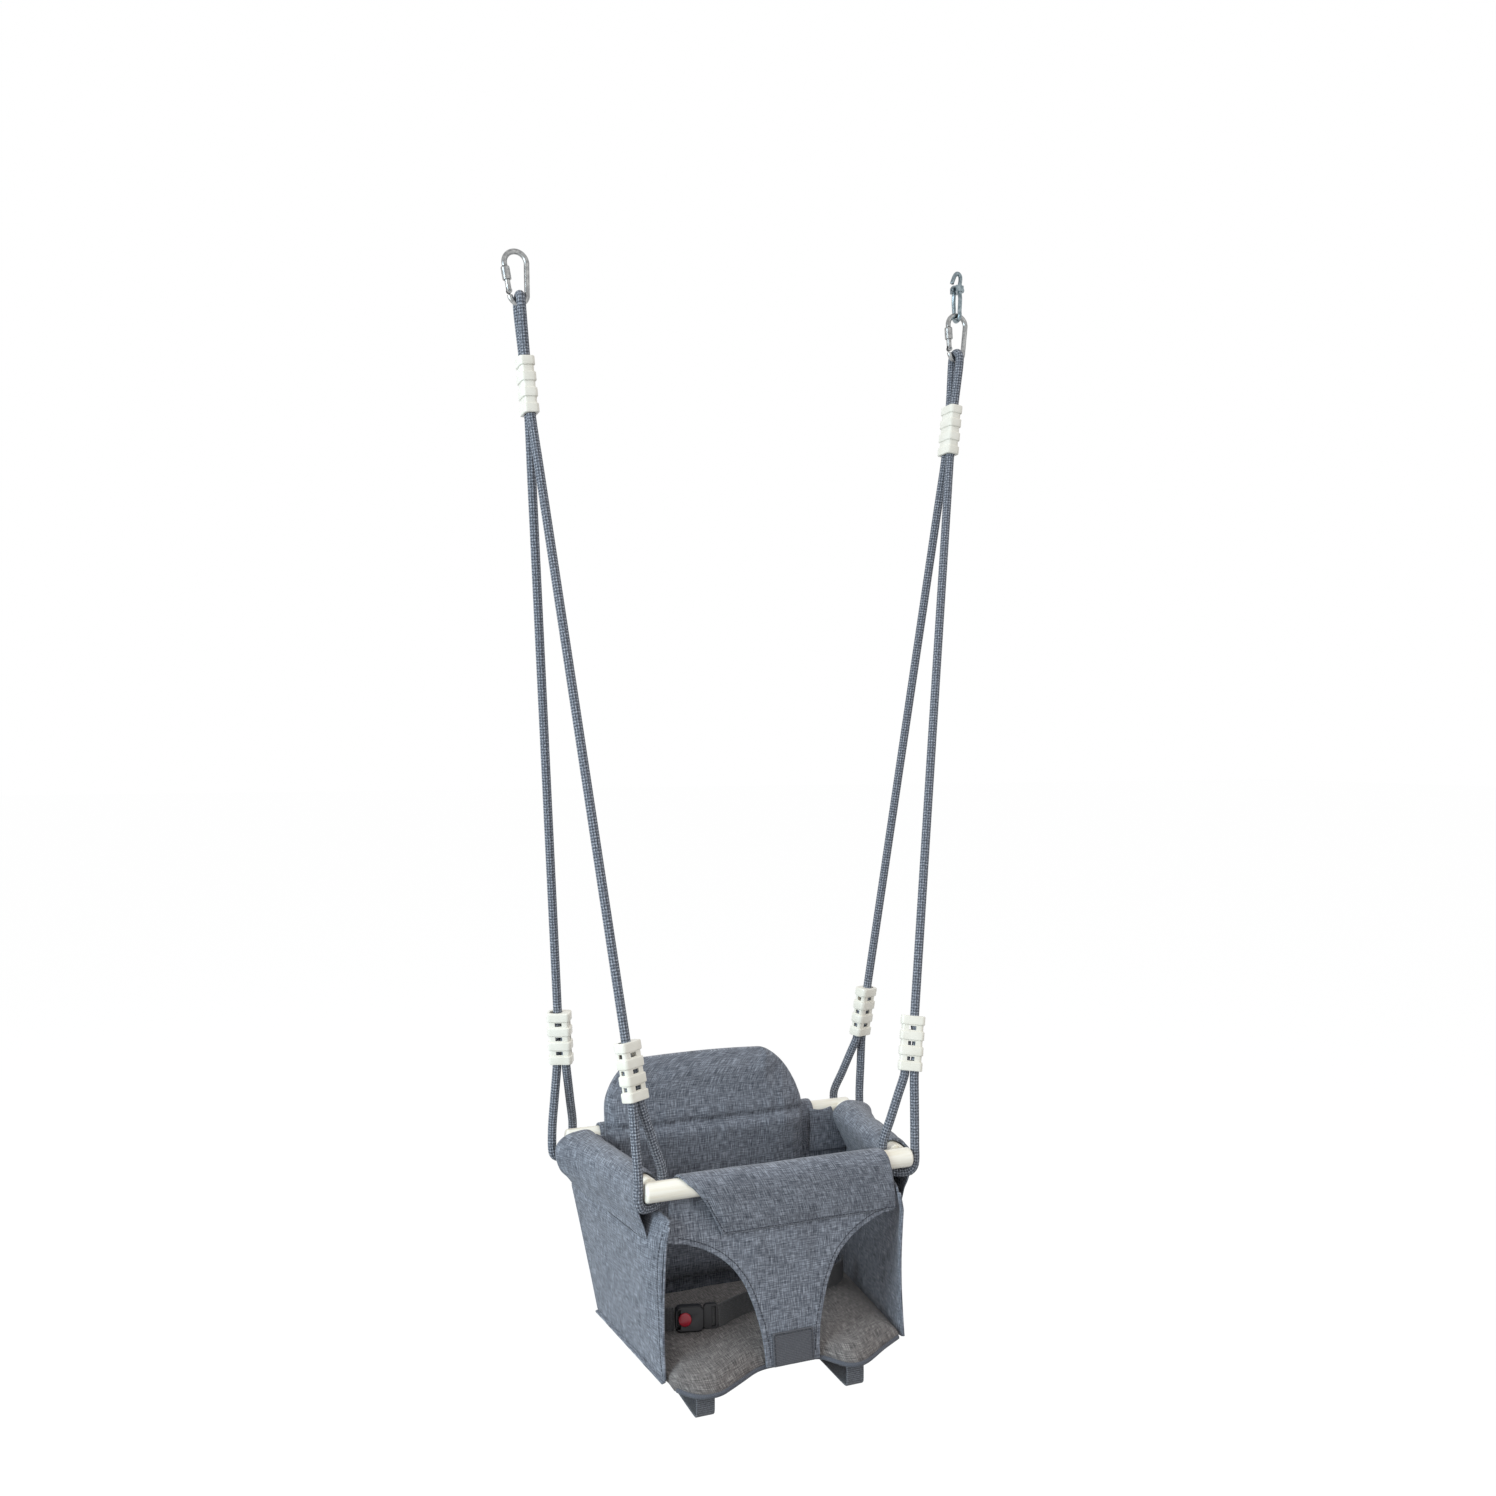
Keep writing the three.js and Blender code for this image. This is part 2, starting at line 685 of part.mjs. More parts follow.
// From the rope's end inside a lower ferrule, round under the corner and up to the upper ferrule
function cornerRoute(corner) {
  const { outer, inner, across, ferrule, legFoot, gap } = corner;
  const lowZ = rodHeight - rodRadius - gap - ropeRadius;
  const turnZ = lowZ + slingBend;
  const down = (from, z) => point(from.x, from.y, z);
  const bend = (from, sign, degrees) => {
    const inset = slingBend * (1 - Math.cos(radians(degrees)));
    return down(from, turnZ - slingBend * Math.sin(radians(degrees))).addScaledVector(across, sign * inset);
  };
  const legStart = ferrule.at(-strandTopOffset, halfFerrule);
  const innerOut = ferrule.at(strandOffset, -outOfFerrule);
  const innerTop = down(inner, rodHeight + rodRadius + 4);
  const outerOut = ferrule.at(-strandOffset, -outOfFerrule);
  const outerTop = down(outer, rodHeight + rodRadius + 4);
  return [
    ferrule.at(strandOffset, -halfFerrule + ferruleTailLength - 2),
    ferrule.at(strandOffset, -halfFerrule / 2),
    ferrule.at(strandOffset, -halfFerrule),
    innerOut,
    innerOut.clone().lerp(innerTop, 0.3),
    innerOut.clone().lerp(innerTop, 0.65),
    innerTop,
    down(inner, rodHeight),
    bend(inner, -1, 0),
    bend(inner, -1, 30),
    bend(inner, -1, 60),
    bend(inner, -1, 90),
    bend(outer, 1, 90),
    bend(outer, 1, 60),
    bend(outer, 1, 30),
    bend(outer, 1, 0),
    outerTop,
    outerTop.clone().lerp(outerOut, 0.5),
    ferrule.at(-strandOffset, -outOfFerrule),
    ferrule.at(-strandOffset, -halfFerrule),
    ferrule.at(-strandOffset, -halfFerrule + ferruleTailLength - 4),
    ferrule.at(-strandTopOffset, halfFerrule - 4),
    legStart,
    ...[0.1, 0.3, 0.5, 0.7, 0.9].map((share) => legStart.clone().lerp(legFoot, share)),
  ];
}

function ropeRoute(side) {
  const { upper, front, rear } = ropeStations(side);
  const through = (offset) => [-halfFerrule, 0, halfFerrule].map((along) => upper.at(offset, along));
  const eyeRadius = (wireRadius + clearance + ropeRadius) / Math.cos(radians(15)) + clearance;
  const eye = [];
  for (let step = 0; step <= 6; step++) {
    const angle = radians(180 - 30 * step);
    eye.push(point(
      side * hangHalf + seatLeft,
      seatForward + eyeRadius * Math.cos(angle),
      hangWireZ + eyeRadius * Math.sin(angle),
    ));
  }
  return [
    ...cornerRoute(front),
    ...through(-strandOffset),
    ...eye,
    ...through(strandOffset).reverse(),
    ...cornerRoute(rear).reverse(),
  ];
}

for (const [name, side] of sides) {
  const { upper, front, rear } = ropeStations(side);
  add(seat, `${name}_rope`, tube(ropeRoute(side), ropeRadius, 8), ropeColour, 0.95);
  for (const [where, place, openTop] of [
    ['upper', upper, true],
    ['front', front.ferrule, false],
    ['rear', rear.ferrule, false],
  ]) {
    const geometry = ferruleBody(openTop).applyMatrix4(place.matrix);
    add(seat, `ferrule_${where}_${name}`, geometry, ivoryColour, 0.5);
  }
}

// Fabric panels: each hangs from its rod in a stitched sleeve
// A section runs up the wall, over the rod and down to the stitch line, outward is +h

const wrapRadius = rodRadius + sleeveSlack + fabricThick / 2;
const climbShares = [0.22, 0.46, 0.54, 0.78];
const flapShares = [0.35, 0.7, 1];
const arcSteps = 6;

function tangentPoint(from, centre, radius, turnSign) {
  const [dh, dz] = [centre.h - from.h, centre.z - from.z];
  const reach = Math.hypot(dh, dz);
  const length = Math.sqrt(reach * reach - radius * radius) / reach;
  const turn = turnSign * Math.asin(radius / reach);
  const [cos, sin] = [Math.cos(turn), Math.sin(turn)];
  return { h: from.h + (dh * cos - dz * sin) * length, z: from.z + (dh * sin + dz * cos) * length };
}

const between = (a, b, share) => ({ h: lerp(a.h, b.h, share), z: lerp(a.z, b.z, share) });

// wall is the list of wall points, lowest first, and the last one is at the stitch line
function sleeveSection(wall, rodH, slack, flare) {
  const stitch = wall[wall.length - 1];
  const radius = wrapRadius + slack;
  const centre = { h: rodH, z: rodHeight - slack };
  const inside = tangentPoint(stitch, centre, radius, 1);
  const end = { h: stitch.h + fabricThick + seamGap, z: stitch.z };
  const outside = tangentPoint(end, centre, radius, -1);
  const angleOf = (at) => Math.atan2(at.z - centre.z, at.h - centre.h);
  const start = angleOf(inside) < 0 ? angleOf(inside) + 2 * Math.PI : angleOf(inside);
  const points = [...wall];
  for (const share of climbShares) points.push(between(stitch, inside, share));
  for (let step = 0; step <= arcSteps; step++) {
    const angle = lerp(start, angleOf(outside), step / arcSteps);
    const push = flare * Math.max(0, Math.cos(angle));
    points.push({ h: centre.h + radius * Math.cos(angle) + push, z: centre.z + radius * Math.sin(angle) });
  }
  for (const share of flapShares) {
    const at = between(outside, end, share);
    points.push({ h: at.h + flare * (1 - share * share), z: at.z });
  }
  return points;
}

// ends(row, z) gives the panel's extent along the rod, place puts a point in space
function hungPanel({ wallAt, rodAt, ends, place, columns, wallRows, slack = 0, flareAt = () => 0 }) {
  const rows = wallRows + climbShares.length + arcSteps + 1 + flapShares.length - 1;
  const probe = sleeveSection(wallAt(0), rodAt(0), slack, 0);
  return sheet(
    (column, row) => {
      const [from, to] = ends(row, probe[row].z);
      const along = lerp(from, to, column / columns);
      const at = sleeveSection(wallAt(along), rodAt(along), slack, flareAt(along))[row];
      return place(along, at.h, at.z);
    },
    columns,
    rows,
    fabricThick,
  );
}

// Front panel: crotch strip, two leg arches, and a band with the sleeve for the front rod
const frontWallShares = [0, 0.15, 0.3, 0.54, 0.65, 0.75, 0.835, 0.89, 0.94, 0.98, 1];
const archHalfShares = [
  [0, 0.229], [0.15, 0.24], [0.3, 0.265], [0.54, 0.34], [0.65, 0.395], [0.75, 0.47],
  [0.835, 0.565], [0.89, 0.655], [0.94, 0.765], [0.98, 0.885], [1, 1],
];

function frontEnds(row, z) {
  const wallRows = frontWallShares.length;
  if (row < wallRows) {
    const half = bandHalf * tableAt(archHalfShares, frontWallShares[row]);
    return [-half, half];
  }
  const rise = (z - stitchHeight) / (rodHeight + wrapRadius - stitchHeight);
  const half = (shares) => lerp(bandHalf, frontSleeveHalf, tableAt(shares, rise));
  const outer = row > wallRows + climbShares.length + arcSteps / 2;
  if (outer) return [tableAt(leftFlapCuts, rise) - frontSleeveHalf, half(rightFlapShares)];
  return [-half(innerEdgeShares), half(innerEdgeShares)];
}

const frontWall = () => frontWallShares.map((share) => ({
  h: lerp(-crotchHemY, -frontStitchY, share),
  z: lerp(crotchHemZ, stitchHeight, share),
}));

add(seat, 'front_panel', hungPanel({
  wallAt: frontWall,
  rodAt: () => -frontRodY,
  ends: frontEnds,
  place: (along, h, z) => point(along, -h, z),
  columns: 10,
  wallRows: frontWallShares.length,
}), fabricColour);

// Side panels
const sideWallShares = [0, 0.25, 0.5, 0.75, 1];
const sideFrontCurve = 6;
const sideWallEase = 2;
const rearWallShares = [0, 0.25, 0.5, 0.75, 1];

const rearBaseY = baseRearY - fabricThick / 2;
const rearWallY = (z) => lerp(rearBaseY, rearStitchY, Math.min(z / stitchHeight, 1));
const baseHalfAt = (y) => lerp(baseFrontHalf, baseRearHalf, (y - baseFrontY) / (baseRearY - baseFrontY));

function sideStitchH(y) {
  const cornerShare = THREE.MathUtils.clamp((y - baseFrontY) / (sideSleeveFrontY - baseFrontY), 0, 1);
  return lerp(baseFrontHalf - 1, sideRodX(y) + sideStitchOut, Math.sin((cornerShare * Math.PI) / 2));
}

function sideWallH(y, z) {
  const foot = baseHalfAt(y) - fabricThick / 2;
  if (z <= stitchHeight) return lerp(foot, sideStitchH(y), z / stitchHeight);
  const climb = (z - stitchHeight) / (rodHeight - stitchHeight);
  return lerp(sideStitchH(y), sideRodX(y) - wrapRadius - sideSleeveSlack, climb);
}

function sideWall(y) {
  return sideWallShares.map((share) => ({ h: sideWallH(y, share * stitchHeight), z: share * stitchHeight }));
}

function sideEnds(row, z) {
  const wallRows = sideWallShares.length;
  if (z < notchHeight && row < wallRows + climbShares.length) {
    const bow = sideFrontCurve * Math.sin(Math.PI * Math.min(z / stitchHeight, 1));
    return [baseFrontY + seamGap + bow, rearWallY(z) + fabricThick / 2];
  }
  const flapRow = row - wallRows - climbShares.length - arcSteps;
  const slant = flapRow > 0 ? 2 * sideFrontCurve * flapShares[flapRow - 1] : 0;
  return [sideSleeveFrontY - slant, sideSleeveRearY];
}

const sideFlareAt = (y) => {
  const share = THREE.MathUtils.clamp((y - flareStartY) / (sideSleeveRearY - flareStartY), 0, 1);
  return flareReach * share * share;
};

// Rear panel
function rearEnds(row, z) {
  const wallRows = rearWallShares.length;
  if (z < notchHeight && row < wallRows + climbShares.length) {
    const half = sideWallH(rearWallY(z), z) - fabricThick - seamGap - sideWallEase;
    return [-half, half];
  }
  return [-rearSleeveLeft, rearSleeveRight];
}

add(seat, 'rear_panel', hungPanel({
  wallAt: () => rearWallShares.map((share) => ({
    h: lerp(rearBaseY, rearStitchY, share),
    z: lerp(0, stitchHeight, share),
  })),
  rodAt: () => rearRodY,
  ends: rearEnds,
  place: (along, h, z) => point(along, h, z),
  columns: 6,
  wallRows: rearWallShares.length,
}), fabricColour);

for (const [name, side] of sides) {
  add(seat, `${name}_panel`, hungPanel({
    wallAt: sideWall,
    rodAt: sideRodX,
    ends: sideEnds,
    place: (along, h, z) => point(side * h, along, z),
    columns: 8,
    wallRows: sideWallShares.length,
    slack: sideSleeveSlack,
    flareAt: sideFlareAt,
  }), fabricColour);
}

// Padded base with two leg lobes at its front edge

const padSideGap = fabricThick + seamGap;
const padFrontGap = padSideGap + 1.1;
const padRearGap = fabricThick + seamGap;
const padColumns = 22;
const padRows = 8;

function padPlan(column, row) {
  const across = (2 * column) / padColumns - 1;
  const back = row / padRows;
  const halfFront = baseFrontHalf - padFrontGap;
  const halfRear = baseRearHalf - padSideGap;
  const x = across * lerp(halfFront, halfRear, back);
  const frontY = tableAt(baseFrontEdge, x);
  return { x, y: lerp(frontY, baseRearY - padRearGap, back), across, back };
}

function padTopHeight({ y, across, back }) {
  const rim = Math.min(1 - Math.abs(across), back, 1 - back);
  const rise = Math.sqrt(Math.min(1, Math.max(0, rim) * 6));
  const droop = lobeDroop * Math.max(0, (baseFrontY - y) / lobeReach);
  return lerp(padRim, padThick, rise) + padCrown * Math.sin(Math.PI * back) * (1 - across ** 2) - droop;
}

function padTop(column, row) {
  const plan = padPlan(column, row);
  return point(plan.x, plan.y, padTopHeight(plan));
}

// The pad's height at a place on it
function padTopAt(x, y) {
  const halfFront = baseFrontHalf - padFrontGap;
  const halfRear = baseRearHalf - padSideGap;
  const frontY = tableAt(baseFrontEdge, x);
  const back = (y - frontY) / (baseRearY - padRearGap - frontY);
  return padTopHeight({ y, across: x / lerp(halfFront, halfRear, back), back });
}

function padBottom(column, row) {
  const { x, y } = padPlan(column, row);
  const droop = lobeDroop * Math.max(0, (baseFrontY - y) / lobeReach);
  return point(x, y, -droop);
}

add(seat, 'seat_base', slab(padTop, padBottom, padColumns, padRows), fabricColour);

// Backrest: a crowned pad with one sewn channel, standing up above the rear rod

const backColumns = 12;
const backHeightShares = [
  0, 0.05, 0.2, 0.4, 0.58, 0.66, 0.7, 0.74, 0.8, 0.85, 0.9, 0.94, 0.97, 0.99, 1,
];
const backFoot = padThick + padCrown + 2;
const backClear = fabricThick / 2 + seamGap;

function backPlan(column, row) {
  const share = backHeightShares[row];
  const z = lerp(backFoot, backTop, share);
  const across = (2 * column) / backColumns - 1;
  const { wide, tall } = across < 0 ? backCorners.left : backCorners.right;
  const cornerRise = Math.max(0, (z - (backTop - tall)) / tall);
  const half = backHalf - wide * (1 - Math.sqrt(Math.max(0, 1 - cornerRise ** 2)));
  const arch = backTopArch * share * share * across * across;
  return { x: backMiddle + across * half, z: z - arch, across, share };
}

// The rear face follows the rear panel, clears the sleeve on the rod, then leans back a little
function backRearY(z) {
  const sleeveFace = rearRodY - wrapRadius - fabricThick / 2 - seamGap;
  const wallFace = lerp(rearBaseY, rearStitchY, z / stitchHeight) - backClear - 1;
  if (z > rodHeight) return sleeveFace + (backLean * (z - rodHeight)) / (backTop - rodHeight);
  return Math.min(wallFace, sleeveFace);
}

function backFront(column, row) {
  const { x, z, across, share } = backPlan(column, row);
  const rim = Math.min(1 - Math.abs(across), share, (1 - share) * 1.5);
  const swell = Math.sqrt(Math.min(1, rim * 5));
  const channel = backSeamDepth * Math.exp(-(((z - backSeamHeight) / backSeamWidth) ** 2));
  const crown = backCrown * (1 - across ** 2) * Math.sin(Math.PI * Math.min(1, share * 1.1));
  return point(x, backRearY(z) - lerp(backRim, backThick, swell) - crown + channel, z);
}

function backRear(column, row) {
  const { x, z } = backPlan(column, row);
  return point(x, backRearY(z), z);
}

const backRows = backHeightShares.length - 1;
add(seat, 'backrest_pad', slab(backFront, backRear, backColumns, backRows), fabricColour);

// Patch on the crotch strip
function frontWallH(z) {
  return lerp(-crotchHemY, -frontStitchY, (z - crotchHemZ) / (stitchHeight - crotchHemZ));
}

add(seat, 'crotch_patch', sheet(
  (column, row) => {
    const z = lerp(patchLow, patchHigh, row / 2);
    const h = frontWallH(z) + fabricThick / 2 + clearance + patchThick / 2;
    return point((column / 2 - 0.5) * patchWide, -h, z);
  },
  2,
  2,
  patchThick,
), webbingColour);

// Buckle: housing, push button, tongue, and the belt halves

const buckle = new THREE.Group();
const buckleFoot = [-housingLength / 2, 0, housingLength / 2 + tongueFrameLength]
  .map((reach) => padTopAt(buckleX + reach, buckleY));
const buckleRise = (housingHeight * Math.cos(radians(buckleLean)) + housingThick * Math.sin(radians(buckleLean))) / 2;
buckle.position.set(buckleX, buckleY, Math.max(...buckleFoot) + buckleRise + beltRest);
buckle.rotation.set(radians(-buckleLean), 0, radians(buckleTurn), 'ZXY');
seat.add(buckle);

// In the buckle's own frame the face with the button looks along -Y and the tongue leaves along +X
const housingRight = housingLength / 2;
const buttonFace = -housingThick / 2;

function buckleHousing() {
  const shape = roundedShape(housingLength - 2 * housingEdge, housingHeight - 2 * housingEdge, housingCorner, 3);
  const shell = new THREE.ExtrudeGeometry(shape, {
    depth: housingThick - 2 * housingEdge,
    bevelThickness: housingEdge,
    bevelSize: housingEdge,
    bevelSegments: 1,
  }).translate(0, 0, -housingThick / 2 + housingEdge).rotateX(Math.PI / 2);
  const well = cylinderAlong(
    point(0, 1, 0),
    buttonRadius + clearance,
    buttonDepth + buttonTravel + clearance + overrun,
    point(buttonShift, buttonFace + (buttonDepth + buttonTravel + clearance - overrun) / 2, 0),
    20,
  );
  const mouth = box(
    tongueBladeLength + clearance + overrun,
    tongueBladeThick + 2 * clearance,
    tongueBladeHeight + 2 * clearance,
    point(housingRight - (tongueBladeLength + clearance - overrun) / 2, housingThick / 4, 0),
  );
  const anchor = box(
    slotLength,
    2 * housingThick,
    beltWide - 5,
    point(-housingRight + slotLength, 0, 0),
  );
  return cut(shell, well, mouth, anchor);
}

function buckleButton() {
  const length = buttonDepth + buttonProud;
  return easedCylinder(buttonRadius, length, 0.6)
    .translate(buttonShift, buttonFace - buttonProud + length / 2, 0);
}

function buckleTongue() {
  const blade = box(tongueBladeLength + 1, tongueBladeThick, tongueBladeHeight,
    point(housingRight - tongueBladeLength / 2 + 0.5, housingThick / 4, 0));
  const frame = extruded(roundedShape(tongueFrameLength, housingHeight, 3, 2), housingThick / 2)
    .rotateX(Math.PI / 2)
    .translate(housingRight + clearance + tongueFrameLength / 2, housingThick / 2, 0);
  const slot = box(slotLength, 3 * housingThick, beltWide - 5 + slotHeightMargin,
    point(housingRight + tongueFrameLength - slotLength, 0, 0));
  return cut(join(blade, frame), slot);
}

add(buckle, 'buckle_housing', buckleHousing(), blackColour, 0.4);
add(buckle, 'buckle_button', buckleButton(), redColour, 0.35);
add(buckle, 'buckle_tongue', buckleTongue(), blackColour, 0.4);

const onPad = (x, y) => point(x, y, padTopAt(x, y) + beltRest + beltWide / 2);

// The belt halves stand on edge on the pad, from the rear corners to the buckle
function beltHalf(start, route) {
  const path = new THREE.CatmullRomCurve3([start, ...route]).getPoints(14);
  for (const at of path) at.z = Math.max(at.z, onPad(at.x, at.y).z);
  return ribbon(path, path.map(() => point(0, 0, 1)), beltWide, beltThick);
}

buckle.updateMatrixWorld();
const besideBuckle = (x) => {
  const at = point(x, 0, 0).applyEuler(buckle.rotation).add(buckle.position);
  return point(at.x, at.y, buckle.position.z);
};
const atLeftWall = (y) => {
  const x = sideWallH(y, padThick) - fabricThick / 2 - beltWallGap;
  return point(-x, y, padThick + beltWide / 2);
};
add(seat, 'lap_belt_left', beltHalf(besideBuckle(-housingRight - beltEndGap), [
  ...leftBeltRoute.map(([x, y]) => onPad(x, y)),
  atLeftWall(leftBeltEndY),
]), webbingColour);
const tongueEnd = housingRight + tongueFrameLength + clearance + beltEndGap;
const rightRoute = rightBeltRoute.map(([x, y]) => onPad(x, y));
add(seat, 'lap_belt_right', beltHalf(besideBuckle(tongueEnd), rightRoute), webbingColour);

// Straps for the swing board, closed under it by a slider

function strapPath() {
  const top = -strapThick / 2 - clearance;
  const low = -boardThick - strapThick;
  const middle = strapBend;
  const turn = (y, z, signY, signZ) => [0, 30, 60, 90].map((degrees) => [
    y + signY * middle * Math.sin(radians(degrees)),
    z + signZ * middle * Math.cos(radians(degrees)),
  ]);
  return [
    [strapFrontY + strapTail, top],
    [strapFrontY + strapTail / 2 + overrun, top - clearance],
    [baseFrontY, top - lobeDroop / 2],
    ...turn(strapFrontY + middle, top - middle - lobeDroop, -1, 1),
    ...turn(strapFrontY + middle, low + middle, -1, -1).reverse(),
    [strapFrontY / 2, low],
    [0, low],
    [strapRearY / 2, low],
    ...turn(strapRearY - middle, low + middle, 1, -1),
    ...turn(strapRearY - middle, top - middle, 1, 1).reverse(),
    [strapRearY - strapTail / 2, top],
    [strapRearY - strapTail, top],
  ];
}

function strapSlider() {
  const half = sliderThick / 2;
  const gap = strapThick / 2 + clearance;
  const rails = [-1, 1].map((sign) => box(sliderRail, sliderLength, sliderThick,
    point(sign * (sliderWide - sliderRail) / 2, 0, 0)));
  const bar = (y, low, high) => box(sliderWide, sliderBar, high - low, point(0, y, (low + high) / 2));
  const endY = (sliderLength - sliderBar) / 2;
  return join(...rails, bar(-endY, -half, -gap), bar(endY, -half, -gap), bar(0, gap, half));
}

for (const [name] of sides) {
  const path = strapPath().map(([y, z]) => point(strapX[name], y, z));
  add(seat, `board_strap_${name}`, ribbon(path, path.map(() => point(1, 0, 0)), strapWide, strapThick), webbingColour);
  const slider = add(seat, `strap_slider_${name}`, strapSlider(), blackColour, 0.5);
  slider.position.set(strapX[name], 0, -boardThick - strapThick);
}

// Clamp, bolt and nut of the rope hook

const clampGroup = new THREE.Group();
clampGroup.position.set(0, 0, hookClampRise);
hook.add(clampGroup);
const headX = clampSize.x / 2 + clearance;
const nutX = -clampSize.x / 2 - clearance;
add(clampGroup, 'hook_clamp', hookClamp(), steelColour, 0.4, 1);
const shankLength = clampSize.x + 2 * clearance + nutLength + 1;
const shank = cylinderAlong(point(1, 0, 0), boltRadius, shankLength, point(headX - shankLength / 2 + 0.5, 0, 0), 12);
const head = easedCylinder(boltHeadRadius, boltHeadLength, boltHeadEdge, 16)
  .rotateZ(Math.PI / 2)
  .translate(headX + boltHeadLength / 2, 0, 0);
add(clampGroup, 'hook_bolt', join(shank, head), steelColour, 0.35, 1);
const nutBlank = cylinderAlong(point(1, 0, 0), nutRadius, nutLength, point(nutX - nutLength / 2, 0, 0), 6);
const nutBore = cylinderAlong(point(1, 0, 0), boltRadius + clearance, 3 * nutLength, point(nutX, 0, 0), 12);
add(clampGroup, 'hook_nut', cut(nutBlank, nutBore), steelColour, 0.35, 1);

export default part;
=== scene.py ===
"""Looks of the toddler swing seat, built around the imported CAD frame."""

import json
import math

import bmesh
import bpy
import numpy as np
from mathutils import Matrix, Vector, noise
from mathutils.bvhtree import BVHTree


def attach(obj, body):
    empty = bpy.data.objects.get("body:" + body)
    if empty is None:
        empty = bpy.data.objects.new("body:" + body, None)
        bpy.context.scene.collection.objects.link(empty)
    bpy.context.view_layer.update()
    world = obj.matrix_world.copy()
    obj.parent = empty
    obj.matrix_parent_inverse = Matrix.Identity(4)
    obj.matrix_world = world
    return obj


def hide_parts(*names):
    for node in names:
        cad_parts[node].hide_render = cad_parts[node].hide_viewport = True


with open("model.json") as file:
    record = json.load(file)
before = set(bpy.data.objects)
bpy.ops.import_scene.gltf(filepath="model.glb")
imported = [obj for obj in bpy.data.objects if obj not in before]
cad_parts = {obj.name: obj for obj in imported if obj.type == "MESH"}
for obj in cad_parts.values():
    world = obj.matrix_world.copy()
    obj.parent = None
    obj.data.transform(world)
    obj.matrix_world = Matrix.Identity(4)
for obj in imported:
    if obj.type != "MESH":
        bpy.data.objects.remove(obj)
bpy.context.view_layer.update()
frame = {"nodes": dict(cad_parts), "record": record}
body_of = {n: b for b, names in frame["record"]["behaviour"]["bodies"].items() for n in names}

# Sizes in millimetres, as in the part's source. Seat pieces are made about the seat's own zero and
# moved by SEAT into the part's frame.
MM = 0.001
SEAT = np.array([-12.0, -33.0, -1173.0])
HANG_HALF = 269.0
ROD_R, ROD_Z = 10.5, 190.0
FRONT_ROD_Y, REAR_ROD_Y = -79.0, 129.0
FRONT_ROD_L, REAR_ROD_L = 307.0, 364.0
ROPE_R = 5.0
FERRULE_L = 60.0
WIRE_R = 3.0
CLOTH = 3.0
SEAM = 0.6
STITCH_Z = 139.0
BASE_FRONT_Y, BASE_REAR_Y = -93.0, 94.0
BASE_FRONT_HALF, BASE_REAR_HALF = 136.0, 153.0
CARABINER_H = 61.0
TILT = {"left": -5.6, "right": 1.4}
FERRULE_W, FERRULE_D = 27.0, 17.0
BORE, BORE_R = 10.9, 5.3
SIDES = (("left", -1), ("right", 1))


def at(*xyz):
    return np.array(xyz, float)


def lerp(a, b, t):
    return a + (b - a) * t


def table(rows, value):
    return float(np.interp(value, [r[0] for r in rows], [r[1] for r in rows]))


def to_part(points):
    return (np.asarray(points, float) + SEAT) * MM

def unit(vector):
    return vector / np.linalg.norm(vector)


def shown(name, data):
    obj = bpy.data.objects.new(name, data)
    bpy.context.scene.collection.objects.link(obj)
    return obj


# Camera, fitted to the photograph

camera = shown("camera", bpy.data.cameras.new("camera"))
camera.data.sensor_width = 36
camera.data.lens = 30.952
camera.data.shift_y = -0.00248
camera.location = Vector(to_part([-550.4, -1326.8, 645.7]))
camera.rotation_euler = (math.radians(90), 0, math.radians(-22.26))
bpy.context.scene.camera = camera


# Mesh helpers


def smooth_faces(mesh):
    mesh.polygons.foreach_set("use_smooth", [True] * len(mesh.polygons))


def piece(name, verts, faces, material, body, uvs):
    """A mesh piece from points in metres, with one UV for each point, riding on a body."""
    mesh = bpy.data.meshes.new(name)
    mesh.from_pydata([tuple(v) for v in verts], [], [tuple(f) for f in faces])
    mesh.update()
    layer = mesh.uv_layers.new(name="UVMap")
    index = np.zeros(len(mesh.loops), np.int32)
    mesh.loops.foreach_get("vertex_index", index)
    layer.data.foreach_set("uv", np.asarray(uvs, np.float32)[index].ravel())
    smooth_faces(mesh)
    mesh.materials.append(material)
    obj = shown(name, mesh)
    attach(obj, body)
    return obj


def replace(obj, node):
    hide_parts(node)
    return obj


def coat(mesh, material):
    mesh.materials.clear()
    mesh.materials.append(material)


def modifier(obj, kind, **values):
    m = obj.modifiers.new(kind.lower(), kind)
    for key, value in values.items():
        setattr(m, key, value)
    return m


def bevel(obj, width, angle=50):
    limit = math.radians(angle)
    modifier(obj, "BEVEL", width=width * MM, segments=2, limit_method="ANGLE", angle_limit=limit)


def thicken(obj, thickness, **values):
    modifier(obj, "SOLIDIFY", thickness=thickness * MM, offset=0.0, **values)


def subdivide(obj):
    modifier(obj, "SUBSURF", levels=1, render_levels=1)


def grid_faces(rows, columns, wrap=False):
    """Quads between rows of points; with wrap the last column joins the first."""
    faces = []
    for r in range(rows - 1):
        low, high = r * columns, (r + 1) * columns
        for c in range(columns if wrap else columns - 1):
            d = (c + 1) % columns
            faces.append((low + c, low + d, high + d, high + c))
    return faces


def closed_faces(rows, columns, wrap=False):
    """The same quads, with a face over the first row and one over the last."""
    last = (rows - 1) * columns
    ends = [tuple(range(columns - 1, -1, -1)), tuple(range(last, last + columns))]
    return grid_faces(rows, columns, wrap) + ends


